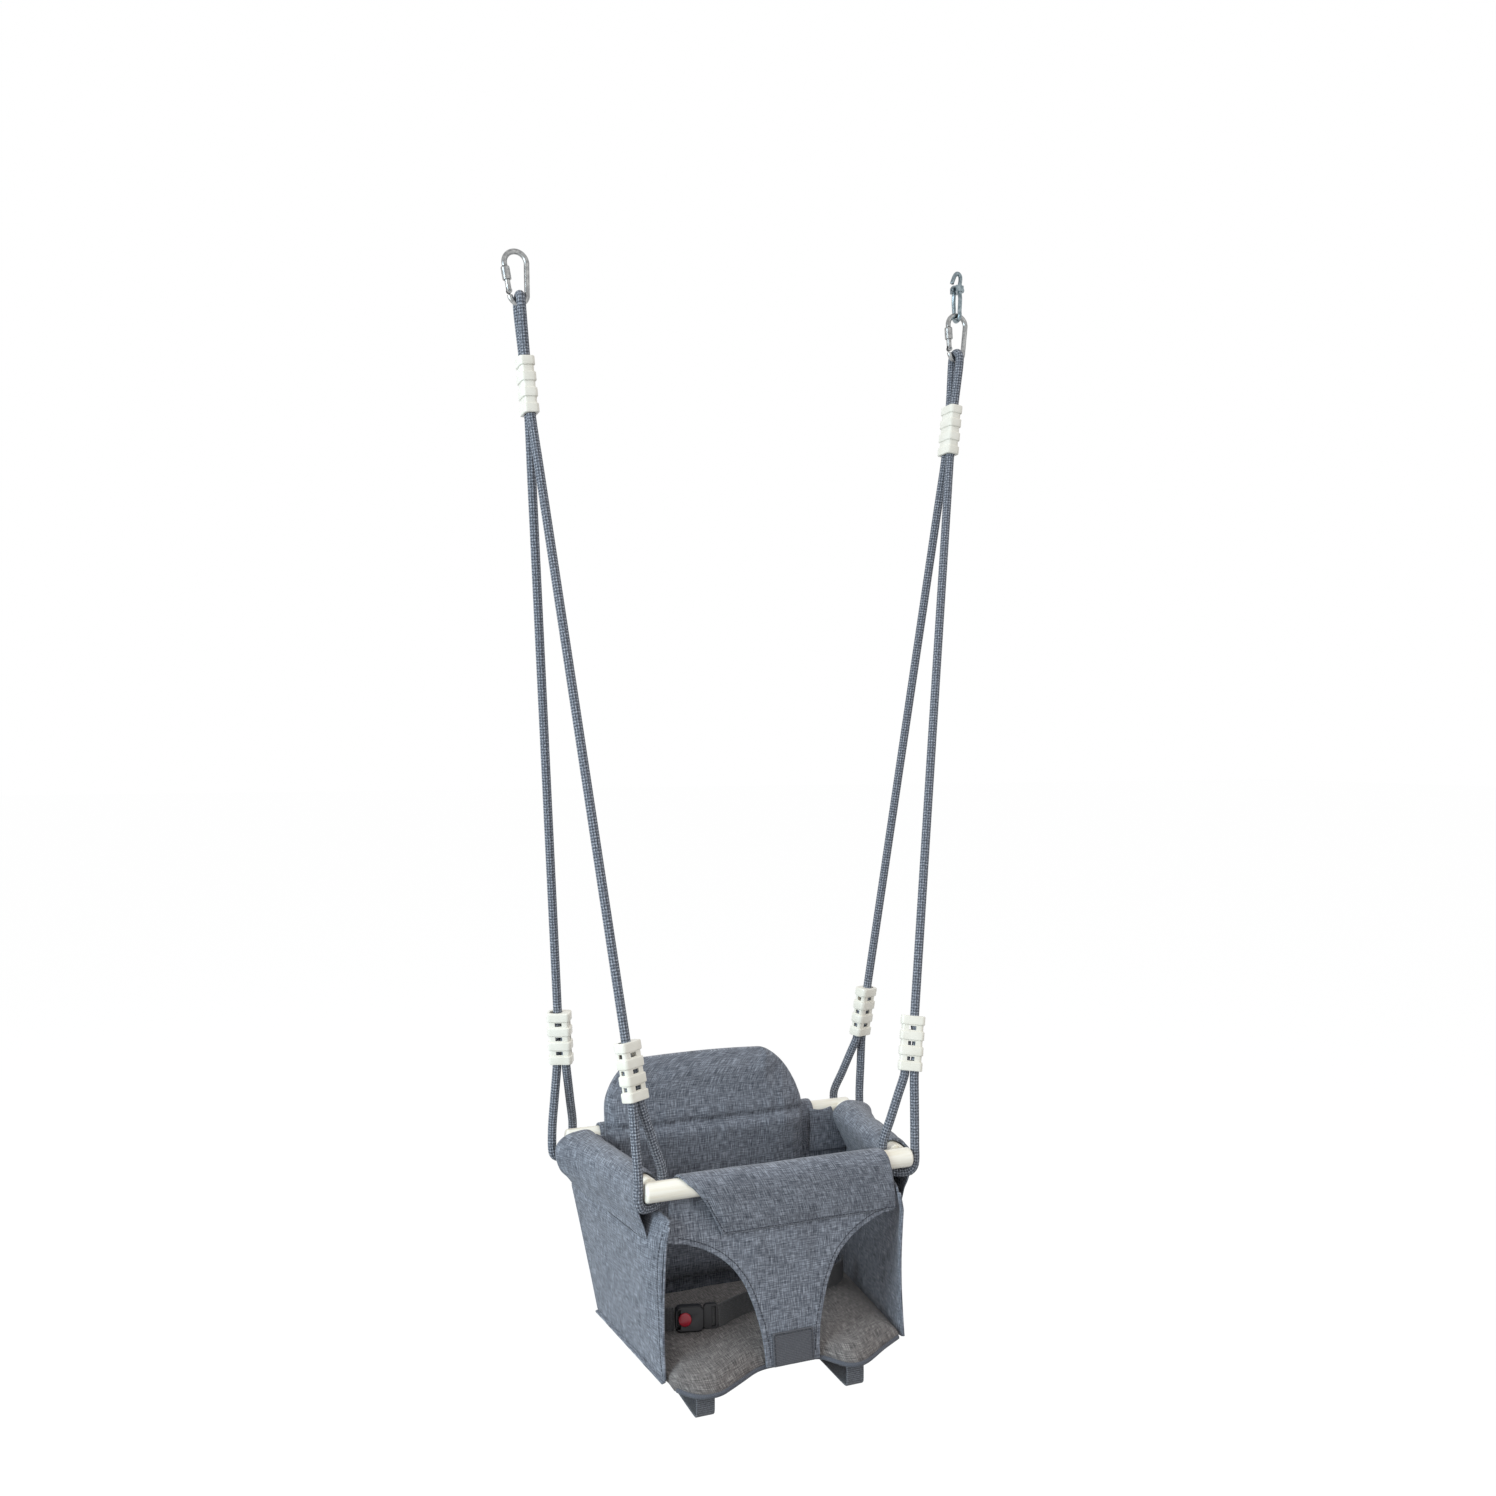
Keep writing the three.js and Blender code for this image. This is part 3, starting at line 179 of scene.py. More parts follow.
def spline(points, steps):
    """A centripetal Catmull-Rom curve through points, with steps between each two."""
    p = np.asarray(points, float)
    p = np.vstack([2 * p[0] - p[1], p, 2 * p[-1] - p[-2]])
    out = []
    for i in range(1, len(p) - 2):
        a, b, c, d = p[i - 1 : i + 3]
        t0 = 0.0
        t1 = t0 + np.linalg.norm(b - a) ** 0.5
        t2 = t1 + np.linalg.norm(c - b) ** 0.5
        t3 = t2 + np.linalg.norm(d - c) ** 0.5
        for t in np.linspace(t1, t2, steps, endpoint=False):
            a1 = (t1 - t) / (t1 - t0) * a + (t - t0) / (t1 - t0) * b
            a2 = (t2 - t) / (t2 - t1) * b + (t - t1) / (t2 - t1) * c
            a3 = (t3 - t) / (t3 - t2) * c + (t - t2) / (t3 - t2) * d
            b1 = (t2 - t) / (t2 - t0) * a1 + (t - t0) / (t2 - t0) * a2
            b2 = (t3 - t) / (t3 - t1) * a2 + (t - t1) / (t3 - t1) * a3
            out.append((t2 - t) / (t2 - t1) * b1 + (t - t1) / (t2 - t1) * b2)
    out.append(p[-2])
    return np.array(out)


def run_of(points):
    """How far along a line each of its points is."""
    return np.concatenate([[0], np.cumsum(np.linalg.norm(np.diff(points, axis=0), axis=1))])


def runs(grid):
    """How far each point of a grid is across it and along it."""
    across = np.cumsum(np.linalg.norm(np.diff(grid, axis=1, prepend=grid[:, :1]), axis=2), axis=1)
    along = np.cumsum(np.linalg.norm(np.diff(grid, axis=0, prepend=grid[:1]), axis=2), axis=0)
    return across, along


def uv_grid(across, along):
    """One UV for each point of a grid, row by row."""
    return np.stack(np.broadcast_arrays(across, along[:, None]), axis=-1).reshape(-1, 2)


def even(points, step):
    """The same line with its points about step apart."""
    p = np.asarray(points, float)
    length = run_of(p)
    s = np.linspace(0, length[-1], max(2, int(round(length[-1] / step)) + 1))
    return np.stack([np.interp(s, length, axis) for axis in p.T], axis=1)


def carried_frames(path):
    """Two directions across a path at each point, without twist."""
    tangents = np.gradient(path, axis=0)
    tangents /= np.linalg.norm(tangents, axis=1)[:, None]
    first = np.cross(tangents[0], [1.0, 0.0, 0.0])
    if np.linalg.norm(first) < 0.2:
        first = np.cross(tangents[0], [0.0, 1.0, 0.0])
    n = unit(first)
    normals = []
    for t in tangents:
        n = unit(n - t * (n @ t))
        normals.append(n)
    normals = np.array(normals)
    return normals, np.cross(tangents, normals)


def tube(name, path, radius, sides, material, body, rounding=0.0):
    """A round tube about a path in metres, with its ends rounded over the given length."""
    path = np.asarray(path, float)
    radii = np.full(len(path), float(radius))
    n, b = carried_frames(path)
    if rounding:
        steps = [math.radians(a) for a in (20, 50, 75)]
        first, last = unit(path[1] - path[0]), unit(path[-1] - path[-2])
        lead = [path[0] - first * rounding * math.sin(a) for a in reversed(steps)]
        tail = [path[-1] + last * rounding * math.sin(a) for a in steps]
        ease = np.array([rounding * (1 - math.cos(a)) for a in steps])
        radii = np.concatenate([radius - ease[::-1], radii, radius - ease])
        path = np.vstack([lead, path, tail])
        n, b = (np.vstack([[d[0]] * 3, d, [d[-1]] * 3]) for d in (n, b))
    angle = np.linspace(0, 2 * math.pi, sides + 1)[None, :, None]
    ring = np.cos(angle) * n[:, None, :] + np.sin(angle) * b[:, None, :]
    verts = (path[:, None, :] + ring * radii[:, None, None]).reshape(-1, 3)
    uv = uv_grid(np.linspace(0, 1, sides + 1), run_of(path))
    obj = piece(name, verts, closed_faces(len(path), sides + 1), material, body, uv)
    weld(obj)
    return obj


def weld(obj):
    bm = bmesh.new()
    bm.from_mesh(obj.data)
    bmesh.ops.remove_doubles(bm, verts=bm.verts, dist=1e-6)
    bmesh.ops.recalc_face_normals(bm, faces=bm.faces)
    bm.to_mesh(obj.data)
    bm.free()


def lathe(name, profile, sides, place, material, body):
    """Turns (radius, along) pairs about the Z axis of the matrix place, in millimetres."""
    angle = np.linspace(0, 2 * math.pi, sides + 1)
    verts, uv = [], []
    run = 0.0
    for i, (r, z) in enumerate(profile):
        if i:
            run += math.hypot(r - profile[i - 1][0], z - profile[i - 1][1])
        for a in angle:
            verts.append((r * math.cos(a), r * math.sin(a), z))
            uv.append((a / (2 * math.pi), run * MM))
    verts = np.array(verts) @ np.array(place)[:3, :3].T + np.array(place)[:3, 3]
    obj = piece(name, verts * MM, grid_faces(len(profile), sides + 1), material, body, uv)
    weld(obj)
    return obj


def matrix_of(origin, x, y, z):
    m = np.eye(4)
    m[:3, 0], m[:3, 1], m[:3, 2], m[:3, 3] = x, y, z, origin
    return m


# Materials


def srgb(r, g, b):
    values = (((c / 255 + 0.055) / 1.055) ** 2.4 if c > 10 else c / 255 / 12.92 for c in (r, g, b))
    return (*values, 1.0)


class Nodes:
    """A material with a Principled shader, and short names for the nodes that feed it."""

    def __init__(self, name, roughness=0.8, metallic=0.0, sheen=0.0, coat=0.0, specular=0.5):
        self.material = bpy.data.materials.new(name)
        self.material.use_nodes = True
        self.tree = self.material.node_tree
        self.shader = self.tree.nodes["Principled BSDF"]
        for socket, value in (("Roughness", roughness), ("Metallic", metallic), ("Sheen Weight", sheen),
                              ("Coat Weight", coat), ("Specular IOR Level", specular)):
            self.shader.inputs[socket].default_value = value

    def node(self, kind, **values):
        n = self.tree.nodes.new(kind)
        for key, value in values.items():
            setattr(n, key, value)
        return n

    def link(self, source, target):
        self.tree.links.new(source, target)

    def uv(self):
        return self.node("ShaderNodeUVMap", uv_map="UVMap").outputs[0]

    def position(self):
        return self.node("ShaderNodeTexCoord").outputs["Object"]

    def noise(self, vector, scale, detail=2.0, rough=0.5):
        n = self.node("ShaderNodeTexNoise")
        n.inputs["Scale"].default_value = scale
        n.inputs["Detail"].default_value = detail
        n.inputs["Roughness"].default_value = rough
        self.link(vector, n.inputs["Vector"])
        return n.outputs[0]

    def threads(self, uv, x, y, rough=0.5, detail=2.0):
        """Noise with its own scale across and along the cloth."""
        stretch = self.node("ShaderNodeMapping")
        stretch.inputs["Scale"].default_value = (x, y, 1)
        self.link(uv, stretch.inputs["Vector"])
        return self.noise(stretch.outputs[0], 1.0, detail, rough)

    def math(self, operation, a, b=None):
        n = self.node("ShaderNodeMath", operation=operation)
        for socket, value in zip(n.inputs, (a, b)):
            if value is None:
                continue
            if isinstance(value, (int, float)):
                socket.default_value = value
            else:
                self.link(value, socket)
        return n.outputs[0]

    def wave(self, value, length):
        return self.math("SINE", self.math("MULTIPLY", value, 2 * math.pi / length))

    def weigh(self, a, share, b, other=1.0):
        """a and b added up by their shares."""
        return self.math("ADD", self.math("MULTIPLY", a, share), self.math("MULTIPLY", b, other))

    def split(self, vector):
        n = self.node("ShaderNodeSeparateXYZ")
        self.link(vector, n.inputs[0])
        return n.outputs

    def colour(self, factor, stops):
        """Colour by a factor, from (place, colour) stops."""
        n = self.node("ShaderNodeValToRGB")
        ramp = n.color_ramp
        ramp.elements[0].position, ramp.elements[0].color = stops[0]
        ramp.elements[1].position, ramp.elements[1].color = stops[-1]
        for place, colour in stops[1:-1]:
            ramp.elements.new(place).color = colour
        self.link(factor, n.inputs[0])
        return n.outputs[0]

    def paint(self, colour):
        self.link(colour, self.shader.inputs["Base Color"])

    def bump(self, height, strength, distance):
        n = self.node("ShaderNodeBump")
        n.inputs["Strength"].default_value = strength
        n.inputs["Distance"].default_value = distance
        self.link(height, n.inputs["Height"])
        self.link(n.outputs[0], self.shader.inputs["Normal"])


def cloth_material(name, dark, middle, light):
    """Melange cloth: slubby warp and weft threads over a fine plain weave, from UVs in metres."""
    m = Nodes(name, roughness=0.95, sheen=0.15, specular=0.2)
    uv, thread_width = m.uv(), 0.0011
    slubs = m.weigh(m.threads(uv, 1050, 90, 0.55), 0.55, m.threads(uv, 80, 950, 0.55), 0.45)
    tone = m.weigh(slubs, 0.92, m.threads(uv, 24, 30), 0.08)
    m.paint(m.colour(tone, [(0.36, dark), (0.5, middle), (0.64, light)]))
    u, v, _ = m.split(uv)
    weave = m.math("MULTIPLY", m.wave(u, thread_width), m.wave(v, thread_width))
    m.bump(m.weigh(weave, 0.18, slubs), 0.5, 0.0006)
    return m.material


def rope_material():
    """Round braid: two crossing sets of strands with a light fleck, from UVs round and along."""
    m = Nodes("rope_braid", roughness=0.8, sheen=0.1, specular=0.3)
    uv = m.uv()
    u, v, _ = m.split(uv)
    turn = m.math("MULTIPLY", u, 2 * math.pi * 5)
    along = m.math("MULTIPLY", v, 2 * math.pi / 0.0064)
    one, two = (m.math("SINE", m.math(way, turn, along)) for way in ("ADD", "SUBTRACT"))
    height = m.math("MULTIPLY", one, two)
    tone = m.weigh(height, 0.2, m.threads(uv, 22, 420, 0.6), 0.95)
    stops = [(0.25, srgb(60, 64, 72)), (0.5, srgb(106, 111, 121)), (0.72, srgb(172, 177, 187))]
    m.paint(m.colour(tone, stops))
    m.bump(height, 0.8, 0.0007)
    return m.material


def webbing_material(name, base, light, rib=0.0021):
    """Woven webbing: ribs across its width with fine threads along it, from UVs in metres."""
    m = Nodes(name, roughness=0.75, sheen=0.1, specular=0.3)
    uv = m.uv()
    u, v, _ = m.split(uv)
    ribs = m.wave(v, rib)
    m.paint(m.colour(m.weigh(ribs, 0.2, m.threads(uv, 900, 300, 0.6)), [(0.25, base), (0.75, light)]))
    m.bump(m.weigh(m.wave(u, 0.0016), 0.3, ribs), 0.6, 0.0004)
    return m.material


def wood_material():
    """Pale turned wood, its grain along V, with a satin varnish."""
    m = Nodes("pale_wood", roughness=0.42, coat=0.15)
    uv = m.uv()
    fine = m.threads(uv, 70, 30, 0.6)
    tone = m.weigh(m.threads(uv, 14, 9, 0.6, 4.0), 0.75, fine, 0.25)
    stops = [(0.3, srgb(229, 219, 197)), (0.5, srgb(243, 238, 225)), (0.7, srgb(249, 246, 237))]
    m.paint(m.colour(tone, stops))
    m.bump(fine, 0.1, 0.0003)
    return m.material


def moulded_material(name, low, high, roughness, coat=0.0):
    """Moulded plastic with a faint grain and slight changes of tone."""
    m = Nodes(name, roughness=roughness, coat=coat)
    where = m.position()
    m.paint(m.colour(m.noise(where, 60.0, 3.0), [(0.3, low), (0.7, high)]))
    m.bump(m.noise(where, 700.0), 0.06, 0.0002)
    return m.material


def steel_material(name, low, high, roughness=0.26):
    """Zinc-plated steel: a cloudy tone, and a fine mottle in its gloss."""
    m = Nodes(name, roughness=roughness, metallic=1.0)
    where = m.position()
    spangle = m.noise(where, 900.0, 2.0, 0.6)
    m.paint(m.colour(m.noise(where, 240.0, 3.0, 0.6), [(0.36, low), (0.64, high)]))
    rough = m.math("ADD", m.math("MULTIPLY", spangle, 0.22), roughness - 0.1)
    m.link(rough, m.shader.inputs["Roughness"])
    m.bump(spangle, 0.15, 0.0002)
    return m.material


cloth = cloth_material("melange_cloth", srgb(64, 67, 75), srgb(108, 112, 121), srgb(160, 165, 175))
# The base pad: the walls' melange cloth tinted warm and brownish. The tint is painted warm reflected light
# and shade from inside the seat, not a cloth colour of its own.
pad_cloth_painted_warm_light = cloth_material("melange_pad_painted_warm_light", srgb(66, 64, 64), srgb(106, 102, 101), srgb(150, 146, 143))
binding = cloth_material("binding_cloth", srgb(52, 54, 60), srgb(84, 87, 95), srgb(124, 128, 137))
patch_cloth = webbing_material("patch_webbing", srgb(76, 77, 82), srgb(96, 97, 103), 0.0016)
webbing = webbing_material("strap_webbing", srgb(66, 68, 73), srgb(110, 112, 118))
belt_cloth = webbing_material("belt_webbing", srgb(66, 67, 69), srgb(108, 108, 109), 0.0018)
rope_cloth = rope_material()
wood = wood_material()
ivory = moulded_material("ivory_plastic", srgb(222, 218, 206), srgb(233, 230, 220), 0.42, 0.1)
black = moulded_material("black_plastic", srgb(22, 22, 25), srgb(34, 34, 38), 0.4)
red = moulded_material("red_plastic", srgb(150, 18, 40), srgb(176, 26, 50), 0.3, 0.2)
zinc = steel_material("zinc_steel", srgb(134, 135, 136), srgb(170, 171, 170))
blued = steel_material("blued_zinc", srgb(112, 124, 130), srgb(146, 158, 163))
thread = webbing_material("sewing_thread", srgb(44, 47, 54), srgb(70, 73, 82), 0.0008)


# Ropes: the route of the part's source, in the seat's millimetres


def ferrule_place(centre, axis, wide):
    across = unit(wide - axis * (wide @ axis))
    return {"centre": centre, "across": across, "axis": axis, "thick": np.cross(axis, across)}


def on_ferrule(place, offset, along):
    return place["centre"] + place["across"] * offset + place["axis"] * along


STRAND, STRAND_TOP = 5.3, 1.5
HANG_WIRE_Z = -SEAT[2] - CARABINER_H + WIRE_R
SIDE_FRONT_X, SIDE_REAR_X = FRONT_ROD_L / 2 - ROD_R, REAR_ROD_L / 2 - ROD_R
SIDE_LEAN = math.atan2(SIDE_REAR_X - SIDE_FRONT_X, REAR_ROD_Y - FRONT_ROD_Y)


def side_rod_x(y):
    return lerp(SIDE_FRONT_X, SIDE_REAR_X, (y - FRONT_ROD_Y) / (REAR_ROD_Y - FRONT_ROD_Y))

def below_hang(side, inward, z):
    """A point by the carabiner, in the seat's millimetres."""
    return at(side * (HANG_HALF - inward) - SEAT[0], -SEAT[1], z)


def rope_stations(side):
    low, high = below_hang(side, 11.5, HANG_WIRE_Z - 118), below_hang(side, 5.5, HANG_WIRE_Z - 56.5)
    upper = ferrule_place((low + high) / 2, unit(high - low), at(0, 1, 0))
    behind = ROD_R + ROPE_R + 0.6

    def corner(outer_x, inner_x, rod_y, inward, gap, centre):
        outer = at(side * outer_x, rod_y, ROD_Z)
        inner = at(side * inner_x, rod_y + behind, ROD_Z)
        turn = math.radians(26.6)
        wide = at(-side * math.cos(turn), inward * math.sin(turn), 0)
        centre = centre * at(side, 1, 1)
        foot = on_ferrule(upper, -inward * STRAND, -FERRULE_L / 2)
        axis = unit(foot - (centre - wide * STRAND_TOP))
        return {"outer": outer, "inner": inner, "across": unit(inner - outer), "foot": foot,
                "gap": gap, "ferrule": ferrule_place(centre, axis, wide)}

    outer_x = FRONT_ROD_L / 2 + 0.3 + ROPE_R + 1
    inner_x = side_rod_x(FRONT_ROD_Y + behind) - ROD_R / math.cos(SIDE_LEAN) - ROPE_R - 0.6
    return {"upper": upper,
            "front": corner(outer_x, inner_x, FRONT_ROD_Y, 1, 2.5, at(163, -66, 312)),
            "rear": corner(198, 170, REAR_ROD_Y, -1, 6.0, at(193.5, 110, 312))}


def corner_route(corner):
    place, across, foot = corner["ferrule"], corner["across"], corner["foot"]
    half, bend_r = FERRULE_L / 2, 12.0
    turn_z = ROD_Z - ROD_R - corner["gap"] - ROPE_R + bend_r

    def down(p, z):
        return at(p[0], p[1], z)

    def bend(p, sign, degrees):
        a = math.radians(degrees)
        return down(p, turn_z - bend_r * math.sin(a)) + across * sign * bend_r * (1 - math.cos(a))

    start = on_ferrule(place, -STRAND_TOP, half)
    inner_out = on_ferrule(place, STRAND, -half - 4)
    inner_top = down(corner["inner"], ROD_Z + ROD_R + 4)
    outer_out = on_ferrule(place, -STRAND, -half - 4)
    outer_top = down(corner["outer"], ROD_Z + ROD_R + 4)
    return [
        *[on_ferrule(place, STRAND, a) for a in (-half + 38, -half / 2, -half)],
        inner_out, lerp(inner_out, inner_top, 0.3), lerp(inner_out, inner_top, 0.65), inner_top,
        down(corner["inner"], ROD_Z),
        *[bend(corner["inner"], -1, d) for d in (0, 30, 60, 90)],
        *[bend(corner["outer"], 1, d) for d in (90, 60, 30, 0)],
        outer_top, lerp(outer_top, outer_out, 0.5), outer_out, on_ferrule(place, -STRAND, -half),
        on_ferrule(place, -STRAND, -half + 36), on_ferrule(place, -STRAND_TOP, half - 4), start,
        *[lerp(start, foot, s) for s in (0.1, 0.3, 0.5, 0.7, 0.9)],
    ]


def rope_route(side):
    stations = rope_stations(side)
    half = FERRULE_L / 2
    eye_r = (WIRE_R + 0.3 + ROPE_R) / math.cos(math.radians(15)) + 0.3
    eye = [below_hang(side, 0, HANG_WIRE_Z) + at(0, eye_r * math.cos(a), eye_r * math.sin(a))
           for a in map(math.radians, (180, 150, 120, 90, 60, 30, 0))]
    return [
        *corner_route(stations["front"]),
        *[on_ferrule(stations["upper"], -STRAND, a) for a in (-half, 0, half)],
        *eye,
        *[on_ferrule(stations["upper"], STRAND, a) for a in (half, 0, -half)],
        *reversed(corner_route(stations["rear"])),
    ]


for side_name, side in SIDES:
    path = to_part(even(spline(rope_route(side), 8), 2.5))
    rope = tube(f"rope_{side_name}", path, ROPE_R * MM, 20, rope_cloth, "seat")
    replace(rope, f"{side_name}_rope")


# Ferrules


def rounded_outline(width, height, corner, steps):
    out = []
    for sx, sy, start in ((1, 1, 0), (-1, 1, 90), (-1, -1, 180), (1, -1, 270)):
        for k in range(steps + 1):
            a = math.radians(start + 90 * k / steps)
            x, y = sx * (width / 2 - corner), sy * (height / 2 - corner)
            out.append((x + corner * math.cos(a), y + corner * math.sin(a)))
    return np.array(out)


def prism(sections):
    """A closed mesh through outlines at heights: (outline, z) pairs."""
    verts = [(x, y, z) for outline, z in sections for x, y in outline]
    return verts, closed_faces(len(sections), len(sections[0][0]), wrap=True)


def loose(name, verts, faces):
    mesh = bpy.data.meshes.new(name)
    mesh.from_pydata(verts, [], faces)
    return shown(name, mesh)


def carve(obj, cutters):
    """Cuts closed meshes out of obj and applies the result."""
    for cutter in cutters:
        modifier(obj, "BOOLEAN", operation="DIFFERENCE", object=cutter, solver="EXACT")
    bpy.context.view_layer.update()
    mesh = bpy.data.meshes.new_from_object(obj.evaluated_get(bpy.context.evaluated_depsgraph_get()))
    obj.modifiers.clear()
    obj.data = mesh
    for cutter in cutters:
        bpy.data.objects.remove(cutter)


def box_mesh(x, y, z, middle):
    outline = [(x / 2, y / 2), (-x / 2, y / 2), (-x / 2, -y / 2), (x / 2, -y / 2)]
    return prism([(outline, middle - z / 2), (outline, middle + z / 2)])


def ferrule_mesh(open_top):
    """Four bands with grooves between, bored for two strands; the lower kind has windows too."""
    band, groove_in = FERRULE_L * 0.165, 1.5
    groove = (FERRULE_L - 4 * band) / 3
    low = -FERRULE_L / 2
    easing = ((0.9, 0), (0.35, 0.25), (0.08, 0.7), (0, 1.3))
    sections = []

    def level(inset, z):
        width, depth = FERRULE_W - 2 * inset, FERRULE_D - 2 * inset
        sections.append((rounded_outline(width, depth, 4.0 - inset * 0.4, 5), z))

    for k in range(4):
        start = low + k * (band + groove)
        if k:
            level(groove_in, start)
        for inset, up in easing:
            level(inset, start + up)
        for inset, up in reversed(easing):
            level(inset, start + band - up)
        if k < 3:
            level(groove_in, start + band)
    body = loose("ferrule_blank", *prism(sections))
    cutters = []
    for k in range(0 if open_top else 3):
        middle = low + (k + 1) * band + (k + 0.5) * groove
        for x, y in ((8, 40), (60, 5)):
            cutters.append(loose("cut", *box_mesh(x, y, groove * 0.66, middle)))
    bore = rounded_outline(2 * STRAND + BORE, BORE, BORE_R, 6)
    cutters.append(loose("cut", *prism([(bore, low - 5), (bore, -low + 5 if open_top else low + 40)])))
    if not open_top:
        upper = rounded_outline(BORE + STRAND - STRAND_TOP, BORE, BORE_R, 6)
        upper -= np.array([(STRAND + STRAND_TOP) / 2, 0])
        cutters.append(loose("cut", *prism([(upper, low - 5), (upper, -low + 5)])))
    carve(body, cutters)
    bpy.context.scene.collection.objects.unlink(body)
    return body.data


ferrule_meshes = {True: ferrule_mesh(True), False: ferrule_mesh(False)}
for side_name, side in SIDES:
    stations = rope_stations(side)
    for where, open_top in (("upper", True), ("front", False), ("rear", False)):
        place = stations[where] if open_top else stations[where]["ferrule"]
        mesh = ferrule_meshes[open_top].copy()
        m = matrix_of(place["centre"] + SEAT, place["across"], place["thick"], place["axis"])
        m[:3, :] *= MM
        mesh.transform(Matrix(m))
        obj = shown(f"ferrule_{where}_{side_name}_shell", mesh)
        coat(mesh, ivory)
        smooth_faces(mesh)
        mesh.set_sharp_from_angle(angle=math.radians(38))
        bevel(obj, 0.3)
        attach(obj, "seat")
        replace(obj, f"ferrule_{where}_{side_name}")


# Rods


def rod(name, node, start, end, edge=3.0):
    length, axis = np.linalg.norm(end - start), unit(end - start)
    x = unit(np.cross(axis, at(0, 0, 1)))
    ease = [(edge * (1 - math.sin(a)), edge * (1 - math.cos(a)))
            for a in map(math.radians, (0, 20, 40, 60, 80, 90))]
    profile = [(0.01, 0)] + [(ROD_R - down, up) for down, up in ease]
    profile += [(ROD_R, z) for z in np.linspace(edge * 2, length - edge * 2, 24)]
    profile += [(ROD_R - down, length - up) for down, up in reversed(ease)] + [(0.01, length)]
    place = matrix_of(start + SEAT, x, np.cross(axis, x), axis)
    obj = lathe(name, profile, 40, place, wood, "seat")
    replace(obj, node)


for where, half, y in (("front", FRONT_ROD_L / 2, FRONT_ROD_Y), ("rear", REAR_ROD_L / 2, REAR_ROD_Y)):
    rod(f"rod_{where}", f"{where}_rod", at(-half, y, ROD_Z), at(half, y, ROD_Z))
for side_name, side in SIDES:
    a, b = at(side * SIDE_FRONT_X, FRONT_ROD_Y, ROD_Z), at(side * SIDE_REAR_X, REAR_ROD_Y, ROD_Z)
    back = unit(b - a) * ((ROD_R + 0.3 + ROD_R * math.sin(SIDE_LEAN)) / math.cos(SIDE_LEAN))
    rod(f"rod_{side_name}", f"{side_name}_rod", a + back, b - back, 1.2)
for name in ("dowel_front_left", "dowel_front_right", "dowel_rear_left", "dowel_rear_right"):
    pale = moulded_material(f"{name}_wood", srgb(222, 206, 172), srgb(238, 226, 198), 0.5)
    coat(frame["nodes"][name].data, pale)


# Fabric panels, from the same sections as the part's source, finer and with folds

WRAP = ROD_R + SEAM + CLOTH / 2
CLIMB, FLAP, ARC = (0.22, 0.46, 0.54, 0.78), (0.35, 0.7, 1.0), 6
FRONT_WALL = (0, 0.15, 0.3, 0.54, 0.65, 0.75, 0.835, 0.89, 0.94, 0.98, 1)
PLAIN_WALL = (0, 0.25, 0.5, 0.75, 1)
FRONT_FOOT_H, FRONT_FOOT_Z = 107, 2
FRONT_STITCH_Y, REAR_STITCH_Y = FRONT_ROD_Y - 7, REAR_ROD_Y - 9
BAND_HALF, SLEEVE_HALF = 132.7, 118.0
SLEEVE_FRONT_Y, SLEEVE_REAR_Y = -52, 112.5
OUTSIDE_FRONT_Y, OUTSIDE_REAR_Y = -71.5, 103
NOTCH_Z, FRONT_NOTCH_Z = ROD_Z - 30, ROD_Z - 26
# Rows of a section: where the front flap starts, where a plain sleeve starts and where its flap does
FLAP_ROW = len(FRONT_WALL) + len(CLIMB) + ARC
SLEEVE_ROW = len(PLAIN_WALL) + len(CLIMB)
HEM_ROW = SLEEVE_ROW + ARC - 1


def tangent_point(start, centre, radius, sign):
    d = centre - start
    reach = math.hypot(*d)
    share = math.sqrt(reach * reach - radius * radius) / reach
    turn = sign * math.asin(radius / reach)
    c, s = math.cos(turn), math.sin(turn)
    return start + np.array([d[0] * c - d[1] * s, d[0] * s + d[1] * c]) * share


def sleeve_section(wall, rod_h, slack, flare):
    stitch, radius = wall[-1], WRAP + slack
    centre = np.array([rod_h, ROD_Z - slack])
    inside = tangent_point(stitch, centre, radius, 1)
    end = stitch + np.array([CLOTH + SEAM, 0])
    outside = tangent_point(end, centre, radius, -1)
    angle = math.atan2(*(inside - centre)[::-1])
    first = angle + 2 * math.pi if angle < 0 else angle
    last = math.atan2(*(outside - centre)[::-1])
    points = list(wall) + [lerp(stitch, inside, s) for s in CLIMB]
    for k in range(ARC + 1):
        a = lerp(first, last, k / ARC)
        push = flare * max(0.0, math.cos(a))
        points.append(centre + np.array([radius * math.cos(a) + push, radius * math.sin(a)]))
    for s in FLAP:
        points.append(lerp(outside, end, s) + np.array([flare * (1 - s * s), 0]))
    return np.array(points)


